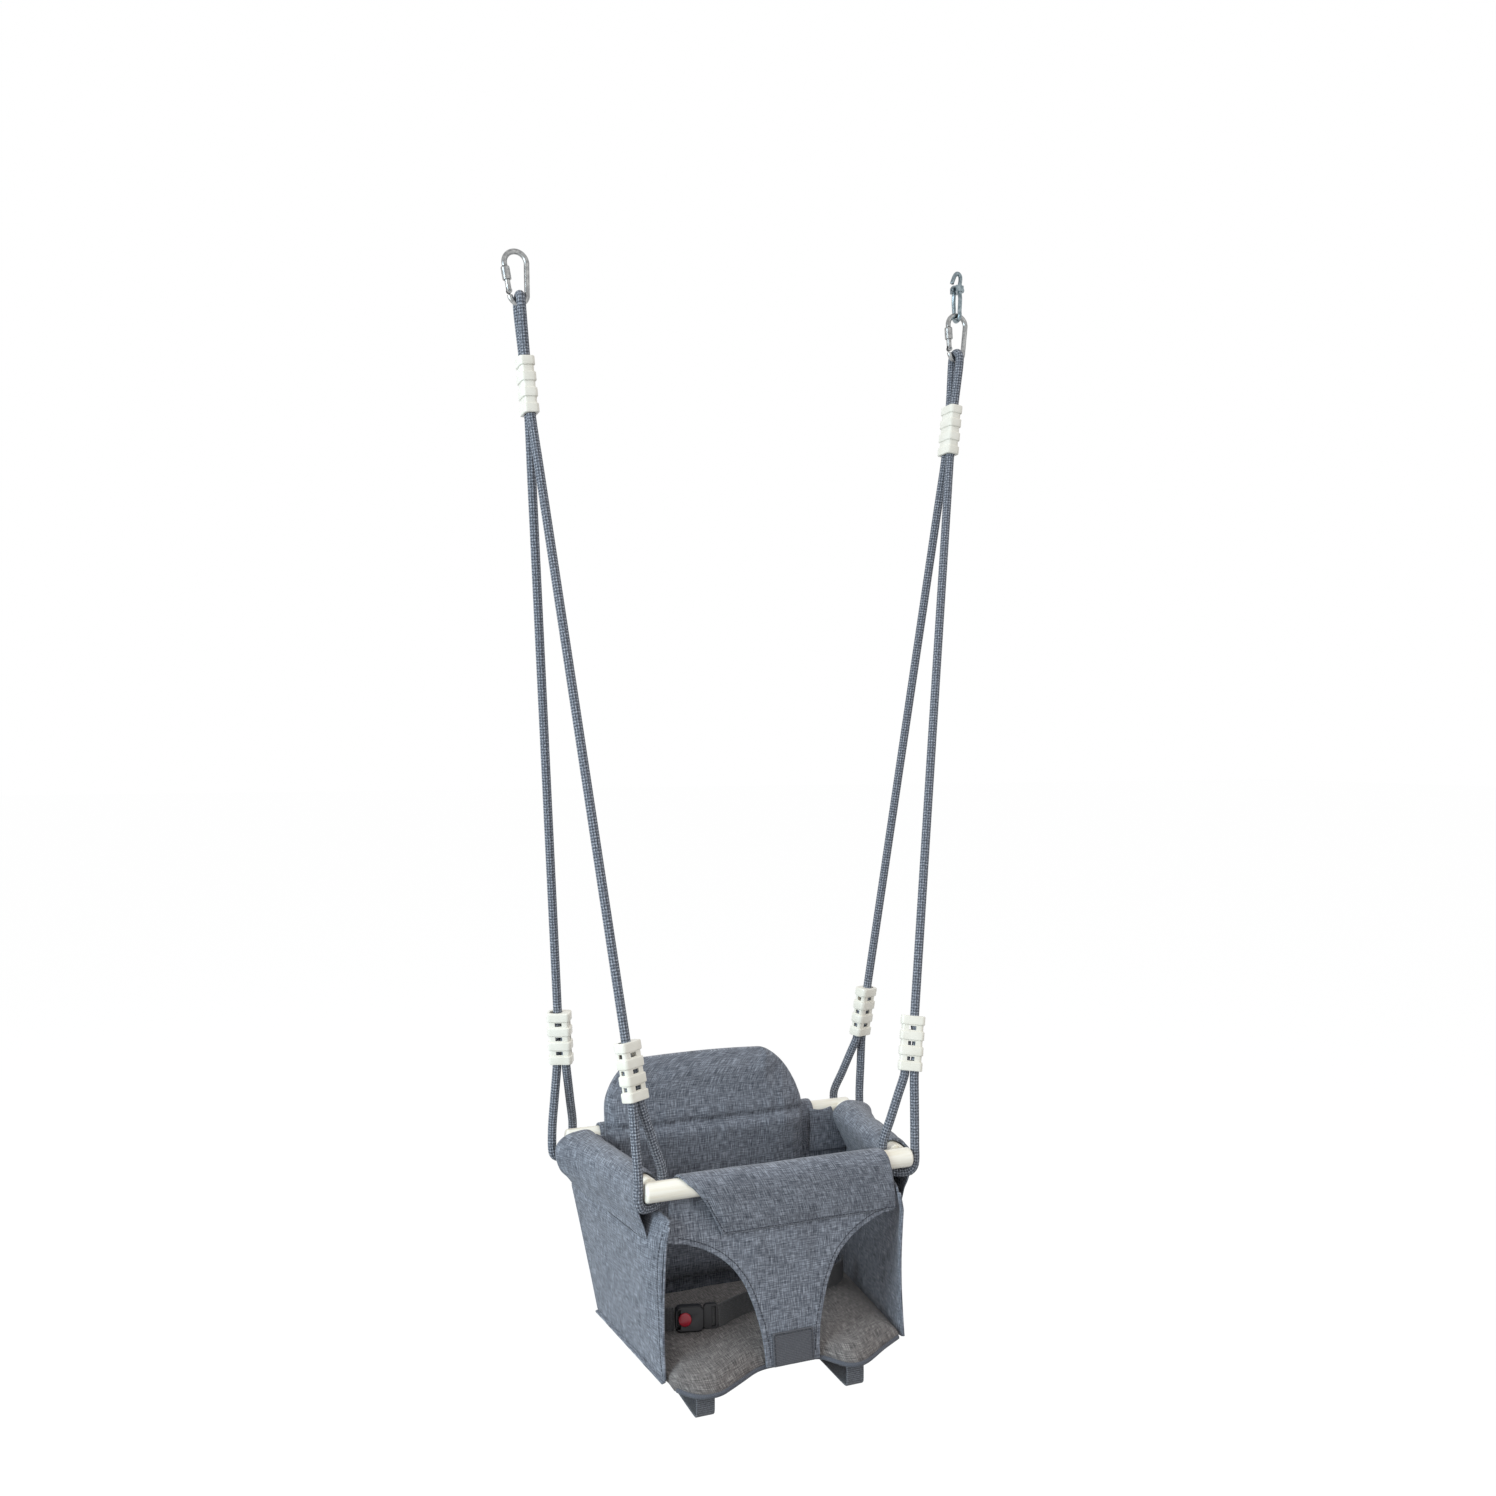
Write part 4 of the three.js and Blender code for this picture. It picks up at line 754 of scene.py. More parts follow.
def hung_panel(name, wall_at, rod_at, ends, place, columns, folds, slack=0.0, flare_at=lambda y: 0.0,
               sewn=None):
    """A cloth panel on its rod: the source's rows, made finer by a smooth curve through them."""
    probe = sleeve_section(wall_at(0.0), rod_at(0.0), slack, 0.0)
    rows = len(probe)
    grid = np.zeros((rows, columns, 3))
    for c in range(columns):
        for r in range(rows):
            along = lerp(*ends(r, probe[r][1]), c / (columns - 1))
            h, z = sleeve_section(wall_at(along), rod_at(along), slack, flare_at(along))[r]
            grid[r, c] = place(along, h, z)
    fine = np.stack([spline(grid[:, c], 4) for c in range(columns)], axis=1)
    share = np.linspace(0, rows - 1, fine.shape[0])
    normal = np.cross(np.gradient(fine, axis=1), np.gradient(fine, axis=0))
    normal /= np.linalg.norm(normal, axis=2)[:, :, None]
    # Turned so that it points out of the seat on the wall, and at the rod on the sleeve
    top = np.unravel_index(np.argmax(fine[:, :, 2]), fine.shape[:2])
    if normal[top][2] > 0:
        normal = -normal
    weights = np.ones(fine.shape[:2])
    for r, c in np.ndindex(*fine.shape[:2]):
        fine[r, c] += normal[r, c] * folds(share[r], fine[r, c])
        if sewn:
            weights[r, c] = sewn(share[r], c / (columns - 1))
    if sewn:
        fine += normal * ((1 - weights) * 2.2)[:, :, None]
    width, along = runs(fine)
    width -= width[:, -1:] / 2
    uv = uv_grid(width, along[:, columns // 2]) * MM
    faces = grid_faces(fine.shape[0], columns)
    obj = piece(name, to_part(fine.reshape(-1, 3)), faces, cloth, "seat", uv)
    group = obj.vertex_groups.new(name="thickness")
    for i, weight in enumerate(weights.ravel()):
        group.add([i], float(weight), "REPLACE")
    thicken(obj, CLOTH, use_even_offset=True, vertex_group="thickness")
    subdivide(obj)
    return obj


def fold_noise(p, scale, seed):
    return noise.noise(Vector((p[0] / scale + seed, p[1] / scale, p[2] / scale)))


ARCH = ((0, 0.229), (0.15, 0.24), (0.3, 0.265), (0.54, 0.34), (0.65, 0.395), (0.75, 0.47),
        (0.835, 0.565), (0.89, 0.655), (0.94, 0.765), (0.98, 0.885), (1, 1))
INNER_EDGE = ((0, 0), (0.173, 0.08), (0.377, 0.39), (0.487, 0.46), (0.597, 0.59), (0.708, 0.86), (1.053, 1))
RIGHT_FLAP = ((0, 0.12), (0.173, 0.18), (0.377, 0.39), (0.582, 0.46), (0.912, 0.8), (1.053, 1))
LEFT_FLAP = ((0, 45), (0.126, 42), (0.535, 28), (0.802, 15), (0.896, 8), (1.022, 0))


def front_ends(row, z):
    if row < len(FRONT_WALL):
        half = BAND_HALF * table(ARCH, FRONT_WALL[row])
        return -half, half
    rise = (z - STITCH_Z) / (ROD_Z + WRAP - STITCH_Z)
    if row > len(FRONT_WALL) + len(CLIMB) + ARC / 2:
        return table(LEFT_FLAP, rise) - SLEEVE_HALF, lerp(BAND_HALF, SLEEVE_HALF, table(RIGHT_FLAP, rise))
    half = lerp(BAND_HALF, SLEEVE_HALF, table(INNER_EDGE, rise))
    return -half, half


def front_wall(_):
    return [at(lerp(FRONT_FOOT_H, -FRONT_STITCH_Y, s), lerp(FRONT_FOOT_Z, STITCH_Z, s)) for s in FRONT_WALL]


def eased(value, start, end):
    t = min(max((value - start) / (end - start), 0), 1)
    return t * t * (3 - 2 * t)


def front_folds(row, p):
    """Soft creases in the band. Cloth on cloth only bulges outward."""
    amount = 1.1 * fold_noise(p, 36, 3.0) + 0.5 * fold_noise(p, 14, 7.0)
    on_flap = eased(row, FLAP_ROW - 2, FLAP_ROW)
    wall = 1 - eased(row, len(FRONT_WALL) - 3, len(FRONT_WALL))
    return -on_flap * (0.7 + amount) + wall * amount * 0.9 + 0.3 * amount


def front_sewn(row, across):
    """The flap's left edge and foot are turned under and sewn flat."""
    on_flap = eased(row, FLAP_ROW - 1.5, FLAP_ROW)
    foot = eased(row, FLAP_ROW + 1.9, FLAP_ROW + 2.9)
    edge = 1 - eased(across, 0.0, 0.06)
    return 1 - 0.68 * on_flap * max(foot, edge)


def rear_base_y():
    return BASE_REAR_Y - CLOTH / 2


def rear_wall_y(z):
    return lerp(rear_base_y(), REAR_STITCH_Y, min(z / STITCH_Z, 1))


def base_half(y):
    return lerp(BASE_FRONT_HALF, BASE_REAR_HALF, (y - BASE_FRONT_Y) / (BASE_REAR_Y - BASE_FRONT_Y))


def side_stitch_h(y):
    corner = min(max((y - BASE_FRONT_Y) / (SLEEVE_FRONT_Y - BASE_FRONT_Y), 0), 1)
    return lerp(BASE_FRONT_HALF - 1, side_rod_x(y) + 5, math.sin(corner * math.pi / 2))


def side_wall_h(y, z):
    foot = base_half(y) - CLOTH / 2
    if z <= STITCH_Z:
        return lerp(foot, side_stitch_h(y), z / STITCH_Z)
    climb = (z - STITCH_Z) / (ROD_Z - STITCH_Z)
    return lerp(side_stitch_h(y), side_rod_x(y) - WRAP - 3, climb)


def side_wall(y):
    return [at(side_wall_h(y, s * STITCH_Z), s * STITCH_Z) for s in PLAIN_WALL]


def rear_wall(_):
    return [at(lerp(rear_base_y(), REAR_STITCH_Y, s), s * STITCH_Z) for s in PLAIN_WALL]


def rear_corner_h(z):
    return side_wall_h(rear_wall_y(z), z)


def bow(z):
    """How far the side wall's front edge stands back from a straight line."""
    return 6 * math.sin(math.pi * min(z / STITCH_Z, 1))


def side_ends(row, z):
    turn = (row - SLEEVE_ROW) / ARC
    if turn < 0:
        front = BASE_FRONT_Y + SEAM + bow(z) if z < FRONT_NOTCH_Z else SLEEVE_FRONT_Y
        return front, rear_wall_y(z) + CLOTH / 2 if z < NOTCH_Z else SLEEVE_REAR_Y
    front = lerp(SLEEVE_FRONT_Y, OUTSIDE_FRONT_Y, eased(turn, 0.45, 0.85))
    return front, lerp(SLEEVE_REAR_Y, OUTSIDE_REAR_Y, eased(turn, 0.0, 0.4))


def side_flare(y):
    return 16 * min(max((y - 20) / (OUTSIDE_REAR_Y - 20), 0), 1) ** 2


def side_folds(row, p):
    """Puffy sleeve with gathers across it, and slack folds below the stitch line."""
    amount = 1.9 * fold_noise(p, 42, 11.0) + 0.9 * fold_noise((p[0], p[1], p[2] * 0.35), 12, 5.0)
    puff = eased(row, SLEEVE_ROW - 0.5, SLEEVE_ROW + 1)
    hem = eased(row, HEM_ROW + 2.4, HEM_ROW + 3)
    return amount * lerp(0.55, 1, puff) * (1 - hem * 0.5) - 1.0 * puff * (1 - hem)


def side_sewn(row, across):
    return 1 - 0.6 * eased(row, HEM_ROW + 2.1, HEM_ROW + 3)


def rear_ends(row, z):
    if z < NOTCH_Z and row < SLEEVE_ROW:
        half = rear_corner_h(z) - CLOTH - SEAM - 2
        return -half, half
    return -144, 128


panels = {
    "front": hung_panel("front_cloth", front_wall, lambda a: -FRONT_ROD_Y, front_ends,
                        lambda a, h, z: at(a, -h, z), 65, front_folds, sewn=front_sewn),
    "rear": hung_panel("rear_cloth", rear_wall, lambda a: REAR_ROD_Y, rear_ends,
                       lambda a, h, z: at(a, h, z), 49, lambda r, p: 0.5 * fold_noise(p, 30, 21.0)),
}
for side_name, side in SIDES:
    panels[side_name] = hung_panel(
        f"{side_name}_cloth", side_wall, side_rod_x, side_ends, lambda a, h, z: at(side * h, a, z),
        57, side_folds, slack=3.0, flare_at=side_flare, sewn=side_sewn)
for key, panel in panels.items():
    replace(panel, f"{key}_panel")


# Padded base and backrest

BASE_EDGE = ((-139, -97), (-128, -113), (-117, -126), (-106, -131), (-90, -131), (-66, -118), (-42, -104),
             (-30, -101), (30, -101), (38, -106), (46, -118), (55, -127), (66, -129), (78, -125), (105, -108),
             (139, -90))
PAD_FRONT_HALF, PAD_REAR_HALF, PAD_REAR_Y = BASE_FRONT_HALF - 4.7, BASE_REAR_HALF - 3.6, BASE_REAR_Y - 3.6
BACK_FOOT, BACK_TOP = 23, 279


def droop(y):
    """How far the lobes hang in front of the walls."""
    return 3.5 * max(0, (BASE_FRONT_Y - y) / 36)


def swelling(rim, reach):
    """A round edge: 0 at the rim and 1 from reach inward."""
    return math.sqrt(1 - (1 - min(1, rim / reach)) ** 2)


def spread(c, columns):
    """Places from -1 to 1, closer together near the ends."""
    return math.sin(math.pi / 2 * (2 * c / (columns - 1) - 1))


def pad_height_at(x, y):
    front_y = table(BASE_EDGE, x)
    back = (y - front_y) / (PAD_REAR_Y - front_y)
    across = x / lerp(PAD_FRONT_HALF, PAD_REAR_HALF, back)
    rise = math.sqrt(min(1, max(0.0, min(1 - abs(across), back, 1 - back)) * 6))
    crown = 4 * math.sin(math.pi * min(max(back, 0), 1)) * (1 - across**2)
    return lerp(9, 17, rise) + crown - droop(y)


def closed_slab(front, back):
    """Vertices and faces of a closed slab between two grids of points."""
    rows, columns = front.shape[:2]
    n = rows * columns
    verts = np.vstack([front.reshape(-1, 3), back.reshape(-1, 3)])
    faces = grid_faces(rows, columns)
    faces += [tuple(n + i for i in reversed(f)) for f in faces]
    rim = [*range(columns), *[r * columns + columns - 1 for r in range(1, rows)],
           *[(rows - 1) * columns + c for c in range(columns - 2, -1, -1)],
           *[r * columns for r in range(rows - 2, 0, -1)]]
    for a, b in zip(rim, rim[1:] + rim[:1]):
        faces.append((b, a, n + a, n + b))
    return verts, faces


def smooth_edge(x):
    return np.mean([table(BASE_EDGE, x + d) for d in (-6, -4, -2, 0, 2, 4, 6)])


def base_grids():
    """The pad's top swells over a thin bound edge. Its foot runs out to the walls' seams."""
    rows, columns = 56, 97
    top, bottom = np.zeros((rows, columns, 3)), np.zeros((rows, columns, 3))
    for r in range(rows):
        for c in range(columns):
            across = spread(c, columns)
            back = 0.5 - 0.5 * math.cos(math.pi * r / (rows - 1))
            half = lerp(PAD_FRONT_HALF, PAD_REAR_HALF, back)
            front_y = smooth_edge(across * half)
            y = lerp(front_y, PAD_REAR_Y, back)
            swell = swelling(max(0.0, min(half * (1 - abs(across)), y - front_y, PAD_REAR_Y - y)), 22)
            crown = 4 * math.sin(math.pi * back) * (1 - across**2)
            inside = eased(y, BASE_FRONT_Y, BASE_FRONT_Y + 12)
            out = 1 + inside * 2.6 / half * (1 - swell) * (1 - swell)
            top[r, c] = (across * half * out, y, lerp(4.2, 16.6, swell) + crown * swell - droop(y))
            bottom[r, c] = (across * half * out, y, 0.2 - droop(y))
    return top, bottom


def back_rear_y(z):
    sleeve = REAR_ROD_Y - WRAP - CLOTH / 2 - SEAM
    wall = lerp(rear_base_y(), REAR_STITCH_Y, z / STITCH_Z) - CLOTH / 2 - SEAM - 1
    return sleeve + 9 * (z - ROD_Z) / (BACK_TOP - ROD_Z) if z > ROD_Z else min(wall, sleeve)


def back_grids():
    """The backrest, its upper corners rounded more to the right than to the left."""
    rise_at = BACK_TOP - 80
    rounded = [rise_at + 80 * math.sin(math.radians(d)) for d in np.linspace(2.5, 90, 32)]
    heights = [*np.linspace(BACK_FOOT, rise_at, 40), *rounded]
    columns = 81
    front, rear = np.zeros((len(heights), columns, 3)), np.zeros((len(heights), columns, 3))
    for r, z0 in enumerate(heights):
        share = (z0 - BACK_FOOT) / (BACK_TOP - BACK_FOOT)
        for c in range(columns):
            across = spread(c, columns)
            full, wide, tall = (127, 42, 52) if across < 0 else (123, 54, 80)
            rise = min(1, max(0, (z0 - (BACK_TOP - tall)) / tall))
            half = full - wide * (1 - (1 - rise**1.65) ** (1 / 1.65))
            x, z = -13 + across * half, z0 - 2 * share**2 * across**2
            swell = swelling(min(half * (1 - abs(across)), 1.3 * (BACK_TOP - z0) + 0.2, z0 - 22.8), 16)
            crown = 3 * (1 - across**2) * math.sin(math.pi * min(1, share * 1.1))
            y = back_rear_y(z)
            front[r, c] = (x, y - lerp(4.5, 14, swell) - crown * swell, z)
            rear[r, c] = (x, y, z)
    return front, rear


def inflate(obj, cap, pressure, hold):
    """Swells a pad with the cloth simulation. Each point's travel is capped, and held points stay."""
    mesh = obj.data
    rest = np.zeros(len(mesh.vertices) * 3, np.float32)
    mesh.vertices.foreach_get("co", rest)
    rest = rest.reshape(-1, 3)
    group = obj.vertex_groups.new(name="held")
    group.add([int(i) for i in np.nonzero(hold(rest / MM - SEAT))[0]], 1.0, "REPLACE")
    m = modifier(obj, "CLOTH")
    m.settings.quality = 5
    m.settings.mass = 0.2
    m.settings.use_pressure = True
    m.settings.uniform_pressure_force = pressure
    m.settings.effector_weights.gravity = 0
    m.settings.tension_stiffness = 25
    m.settings.compression_stiffness = 25
    m.settings.vertex_group_mass = "held"
    scene = bpy.context.scene
    for step in range(1, 19):
        scene.frame_set(step)
    shown = obj.evaluated_get(bpy.context.evaluated_depsgraph_get()).data
    moved = np.zeros(len(shown.vertices) * 3, np.float32)
    shown.vertices.foreach_get("co", moved)
    obj.modifiers.clear()
    scene.frame_set(1)
    travel = moved.reshape(-1, 3) - rest
    size = np.linalg.norm(travel, axis=1)[:, None]
    return rest + travel * np.minimum(1, cap / np.maximum(size, 1e-9))


def pad_piece(name, grids, node, cap, material, shape, hold):
    """A padded piece: blown up and shaped."""
    front, rear = grids
    verts, faces = closed_slab(front, rear)
    uv = np.tile(np.stack(runs(front), axis=-1).reshape(-1, 2), (2, 1)) * MM
    obj = piece(name, to_part(verts), faces, material, "seat", uv)
    points = inflate(obj, cap, 3.0, hold)
    points = to_part([shape(p) for p in points / MM - SEAT])
    obj.data.vertices.foreach_set("co", points.astype(np.float32).ravel())
    obj.data.update()
    subdivide(obj)
    replace(obj, node)


def shape_base(p):
    p = p.copy()
    p[2] += (0.8 * fold_noise(p, 30, 40.0) + 0.4 * fold_noise(p, 11, 44.0)) * eased(p[2], 4, 10)
    return p


def shape_back(p):
    """The sewn channel across the front, with small puckers beside it."""
    p = p.copy()
    depth = eased(back_rear_y(p[2]) - p[1], 3, 9)
    near = p[2] - 201 - 0.5 * math.sin(p[0] / 9)
    pucker = 1 + 0.5 * math.sin(p[0] / 4.1 + math.sin(p[0] / 11))
    p[1] += depth * 5.4 * math.exp(-((near / 3.4) ** 2))
    p[1] -= depth * 1.1 * math.exp(-(((abs(near) - 12) / 9) ** 2)) * pucker
    p[1] -= depth * 0.8 * fold_noise(p, 36, 60.0)
    return p


pad_piece("base_pad", base_grids(), "seat_base", 2.5 * MM, pad_cloth_painted_warm_light, shape_base, lambda p: p[:, 2] < 5)
pad_piece("back_pad", back_grids(), "backrest_pad", 3.0 * MM, cloth, shape_back,
          lambda p: np.array([back_rear_y(q[2]) - q[1] < 5 for q in p]))


# Strips: webbing, seams and patches


def strip(name, path, across, width, thickness, material, body, columns, folds=None, rounding=True):
    """A flat strap about a path in millimetres of the seat, its width along across."""
    path = np.asarray(path, float)
    offset = np.linspace(-0.5, 0.5, columns) * width
    grid = path[:, None, :] + np.asarray(across, float) * offset[None, :, None]
    if folds:
        for r, c in np.ndindex(*grid.shape[:2]):
            grid[r, c] += folds(grid[r, c])
    uv = uv_grid(offset, run_of(path)) * MM
    faces = grid_faces(len(path), columns)
    obj = piece(name, to_part(grid.reshape(-1, 3)), faces, material, body, uv)
    thicken(obj, thickness)
    if rounding:
        bevel(obj, thickness * 0.35)
    return obj


def strap_path():
    top, low, radius = -1.2, -28.8, 4.0

    def turn(y, z, sy, sz):
        return [(y + sy * radius * math.sin(a), z + sz * radius * math.cos(a))
                for a in map(math.radians, (0, 30, 60, 90))]

    return [
        (-61, top), (-83.5, top - 0.3), (-93, top - 1.75),
        *turn(-112, top - radius - 3.5, -1, 1), *reversed(turn(-112, low + radius, -1, -1)),
        (-58, low), (0, low), (49, low),
        *turn(94, low + radius, 1, -1), *reversed(turn(94, top - radius, 1, 1)), (70.5, top), (43, top),
    ]


for side_name, strap_x in (("left", -101), ("right", 67)):
    path = even(spline([at(strap_x, y, z) for y, z in strap_path()], 8), 3)
    replace(strip(f"board_strap_{side_name}_webbing", path, at(1, 0, 0), 20, 1.8, webbing, "seat", 9),
            f"board_strap_{side_name}")


def dress(node, material, ease):
    """A finer piece from a CAD node's own shape: its edges eased and its faces smooth."""
    mesh = frame["nodes"][node].data.copy()
    obj = shown(f"{node}_piece", mesh)
    coat(mesh, material)
    bm = bmesh.new()
    bm.from_mesh(mesh)
    bmesh.ops.remove_doubles(bm, verts=bm.verts, dist=1e-6)
    bmesh.ops.dissolve_limit(bm, angle_limit=math.radians(3), verts=bm.verts, edges=bm.edges)
    bm.to_mesh(mesh)
    bm.free()
    smooth_faces(mesh)
    mesh.set_sharp_from_angle(angle=math.radians(40))
    bevel(obj, ease, 35)
    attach(obj, body_of[node])
    replace(obj, node)


for side_name, _ in SIDES:
    dress(f"strap_slider_{side_name}", black, 0.7)

# Crotch patch, with its sewn border


def front_wall_h(z):
    return lerp(FRONT_FOOT_H, -FRONT_STITCH_Y, (z - FRONT_FOOT_Z) / (STITCH_Z - FRONT_FOOT_Z))


patch_path = [at(0, -(front_wall_h(z) + CLOTH / 2 + 0.3 + 0.8), z) for z in np.linspace(3, 36, 12)]
patch = strip("patch_cloth", patch_path, at(1, 0, 0), 46, 1.6, patch_cloth, "seat", 15,
              folds=lambda p: at(0, -0.35 * fold_noise(p, 14, 70.0) - 0.2, 0))
replace(patch, "crotch_patch")

# Lap belt

BUCKLE_AT = at(-101, -67, -1138.8) - SEAT
BUCKLE_YAW = Matrix.Rotation(math.radians(-14), 3, "Z")
BUCKLE_TURN = np.array(BUCKLE_YAW @ Matrix.Rotation(math.radians(-8), 3, "X"))
BELT_W, BELT_GAP = 25, 0.4


def in_buckle(x, y=0.0, z=0.0):
    return BUCKLE_AT + BUCKLE_TURN @ at(x, y, z)


def on_pad(x, y):
    return at(x, y, pad_height_at(x, y) + BELT_GAP + BELT_W / 2)


def belt(side_name, start, route, body):
    path = even(spline([start, *route], 10), 4)
    for p in path:
        p[2] = max(p[2], on_pad(p[0], p[1])[2])
    obj = strip(f"belt_{side_name}", path, at(0, 0, 1), BELT_W, 1.6, belt_cloth, body, 9,
                folds=lambda p: at(0.5 * fold_noise(p, 40, 80.0), 0.5 * fold_noise(p, 40, 84.0), 0))
    replace(obj, f"lap_belt_{side_name}")


left_start, right_start = in_buckle(-16.3), in_buckle(15.5 + 15 + 0.3 + 0.8)
left_start[2] = right_start[2] = BUCKLE_AT[2]
left_route = [on_pad(x, y) for x, y in ((-119, -17), (-128, 0), (-132, 20), (-136, 38))]
left_route.append(at(-(side_wall_h(54, 17) - 2.2), 54, 29.5))
right_route = [on_pad(x, y) for x, y in ((-33, -27), (-8, -20), (40, -12), (88, 2), (118, 22), (130, 40))]
belt("left", left_start, left_route, "seat")
belt("right", right_start, right_route, "tongue")

# The webbing that turns round the buckle's bars fills their slots
for side_name, slot_x, body in (("left", -11.5, "seat"), ("right", 26.5, "tongue")):
    path = [in_buckle(slot_x + x, 3.2) for x in (-1.8, 0, 1.8)]
    strip(f"belt_loop_{side_name}", path, BUCKLE_TURN @ at(0, 0, 1), 19.6, 1.6, belt_cloth, body, 5,
          rounding=False)
dress("buckle_housing", black, 0.5)
dress("buckle_button", red, 0.5)
dress("buckle_tongue", black, 0.6)

# Carabiners and the rope hook

BOW_LOW, BOW_HIGH, NOSE = 9.3, 12.0, 2.8
BOW_GAP = CARABINER_H - 2 * WIRE_R - BOW_LOW - BOW_HIGH
GATE_LEAN = math.asin((BOW_HIGH - BOW_LOW) / BOW_GAP)
SLEEVE_L = 14


def arc(centre_z, radius, first, last, steps):
    angle = np.linspace(first, last, steps + 1)
    return [at(radius * math.cos(a), 0, centre_z + radius * math.sin(a)) for a in angle]


def carabiner_line():
    """The wire's line in its own plane, and the place of the gate's hinge."""
    high = BOW_LOW + BOW_GAP
    upper = at(-BOW_HIGH * math.cos(GATE_LEAN), 0, high - BOW_HIGH * math.sin(GATE_LEAN))
    lower = at(-BOW_LOW * math.cos(GATE_LEAN), 0, BOW_LOW - BOW_LOW * math.sin(GATE_LEAN))
    nose = lerp(upper, lower, NOSE / np.linalg.norm(upper - lower))
    return [*arc(BOW_LOW, BOW_LOW, math.pi + GATE_LEAN, 2 * math.pi - GATE_LEAN, 24),
            *arc(high, BOW_HIGH, -GATE_LEAN, math.pi + GATE_LEAN, 28), nose], lower


for side_name, side in SIDES:
    turn = np.array(Matrix.Rotation(math.radians(TILT[side_name]), 3, "Y"))
    origin = at(side * HANG_HALF, 0, WIRE_R - CARABINER_H)
    line, lower = carabiner_line()
    path = np.array([origin + turn @ p for p in line]) * MM
    wire = tube(f"carabiner_{side_name}_wire", even(path, 0.8 * MM), WIRE_R * MM, 24, zinc, "hanger")
    replace(wire, f"carabiner_frame_{side_name}")
    dress(f"carabiner_gate_{side_name}", zinc, 0.4)
    dress(f"gate_pin_{side_name}", blued, 0.2)
    # The lock sleeve, with its knurled middle
    gate = turn @ np.array(Matrix.Rotation(-GATE_LEAN, 3, "Y"))
    length = BOW_GAP * math.cos(GATE_LEAN) - NOSE - 0.35
    start = origin + turn @ lower + gate @ at(0, 0, length - SLEEVE_L - 0.3)
    profile = [(3.5, 0.0), (4.2, 0.0), (4.6, 0.3), (4.8, 0.9), (4.8, 2.2)]
    for k in range(9):
        z = 2.6 + k * 1.0
        profile += [(4.5, z), (4.8, z + 0.35), (4.8, z + 0.7)]
    profile += [(4.8, 12.2), (4.8, 13.2), (4.6, 13.7), (4.2, SLEEVE_L), (3.5, SLEEVE_L), (3.5, 0.0)]
    body = f"sleeve_{side_name}"
    sleeve = lathe(body, profile, 28, matrix_of(start, *gate.T), zinc, body)
    replace(sleeve, f"lock_sleeve_{side_name}")


def hook_line():
    rise, top = 31.5, 53.5
    eye = [at(0, 6.6 * math.cos(a), -6.6 * math.sin(a)) for a in np.radians(np.linspace(-20, 200, 15))]

    def bar(sign):
        straight = [at(sign * 1.5, -sign * 4.4, rise + up) for up in (6, 0, -6)]
        return [*straight, at(sign * 1.0, -sign * 5.9, rise - 13)]

    return [*bar(-1), *eye, *reversed(bar(1)), at(4, -1.5, rise + 12), at(4.6, 0, rise + 17),
            *[at(x, 0, top - d) for x, d in ((2.8, 2.5), (0, 1.9), (-2.9, 5), (-5.2, 10), (-7, 15))]]


HOOK_REACH, HOOK_TILT = 55, math.radians(TILT["right"])
hook_at = at(HANG_HALF + HOOK_REACH * math.sin(HOOK_TILT), 0,
             WIRE_R - CARABINER_H + HOOK_REACH * math.cos(HOOK_TILT))
path = (even(spline(hook_line(), 8), 0.9) + hook_at) * MM
replace(tube("hook_wire", path, 2.5 * MM, 20, blued, "hanger"), "rope_hook")
for node, ease in (("hook_clamp", 0.8), ("hook_bolt", 0.3), ("hook_nut", 0.4)):
    dress(node, blued, ease)


# Seams and stitches


def surface_of(obj):
    bpy.context.view_layer.update()
    data = obj.evaluated_get(bpy.context.evaluated_depsgraph_get()).data
    points = [obj.matrix_world @ v.co for v in data.vertices]
    return BVHTree.FromPolygons(points, [tuple(p.vertices) for p in data.polygons])


def sew(name, tree, path, out):
    """A row of thread stitches laid on a surface along a path, found from the out side."""
    spacing, stitch, radius = 4.2, 3.4, 0.5
    out = unit(out)
    verts, faces, hits = [], [], []
    for p in even(path, spacing):
        hit = tree.ray_cast(Vector(to_part(p + out * 14)), Vector(-out), 0.03)
        hits.append((np.array(hit[0]) / MM - SEAT, np.array(hit[1])) if hit[0] else None)
    for a, b in zip(hits, hits[1:]):
        if a is None or b is None:
            continue
        (pa, na), (pb, _) = a, b
        if np.linalg.norm(pb - pa) > 2 * spacing:
            continue
        run = unit(pb - pa)
        n = na * (1 if na @ out > 0 else -1)
        s = unit(np.cross(run, n))
        mid = (pa + pb) / 2 + n * radius * 0.35
        k = len(verts)
        for t, r in ((-0.5, 0.35), (-0.36, 0.9), (0.0, 1.0), (0.36, 0.9), (0.5, 0.35)):
            for angle in range(0, 360, 60):
                c, d = math.cos(math.radians(angle)), math.sin(math.radians(angle))
                verts.append(mid + run * t * stitch + (s * c + n * d * 0.8) * radius * r)
        faces += [tuple(k + i for i in face) for face in closed_faces(5, 6, wrap=True)]
    uv = [(v[0] * MM, v[2] * MM) for v in verts]
    piece(name, to_part(verts), faces, thread, "seat", uv)


def front_edge_path(side):
    """A line inside the front panel's leg arch, inset from its edge."""
    inset, rise, out = 5.5, STITCH_Z - FRONT_FOOT_Z, []
    for share in np.linspace(0.06, 0.985, 40):
        half = BAND_HALF * table(ARCH, share)
        slope = (BAND_HALF * (table(ARCH, share + 0.01) - table(ARCH, share - 0.01))) / (0.02 * rise)
        norm = math.hypot(1, slope)
        z = lerp(FRONT_FOOT_Z, STITCH_Z, share) + inset * slope / norm
        out.append(at(side * (half - inset / norm), -front_wall_h(z), z))
    return np.array(out)


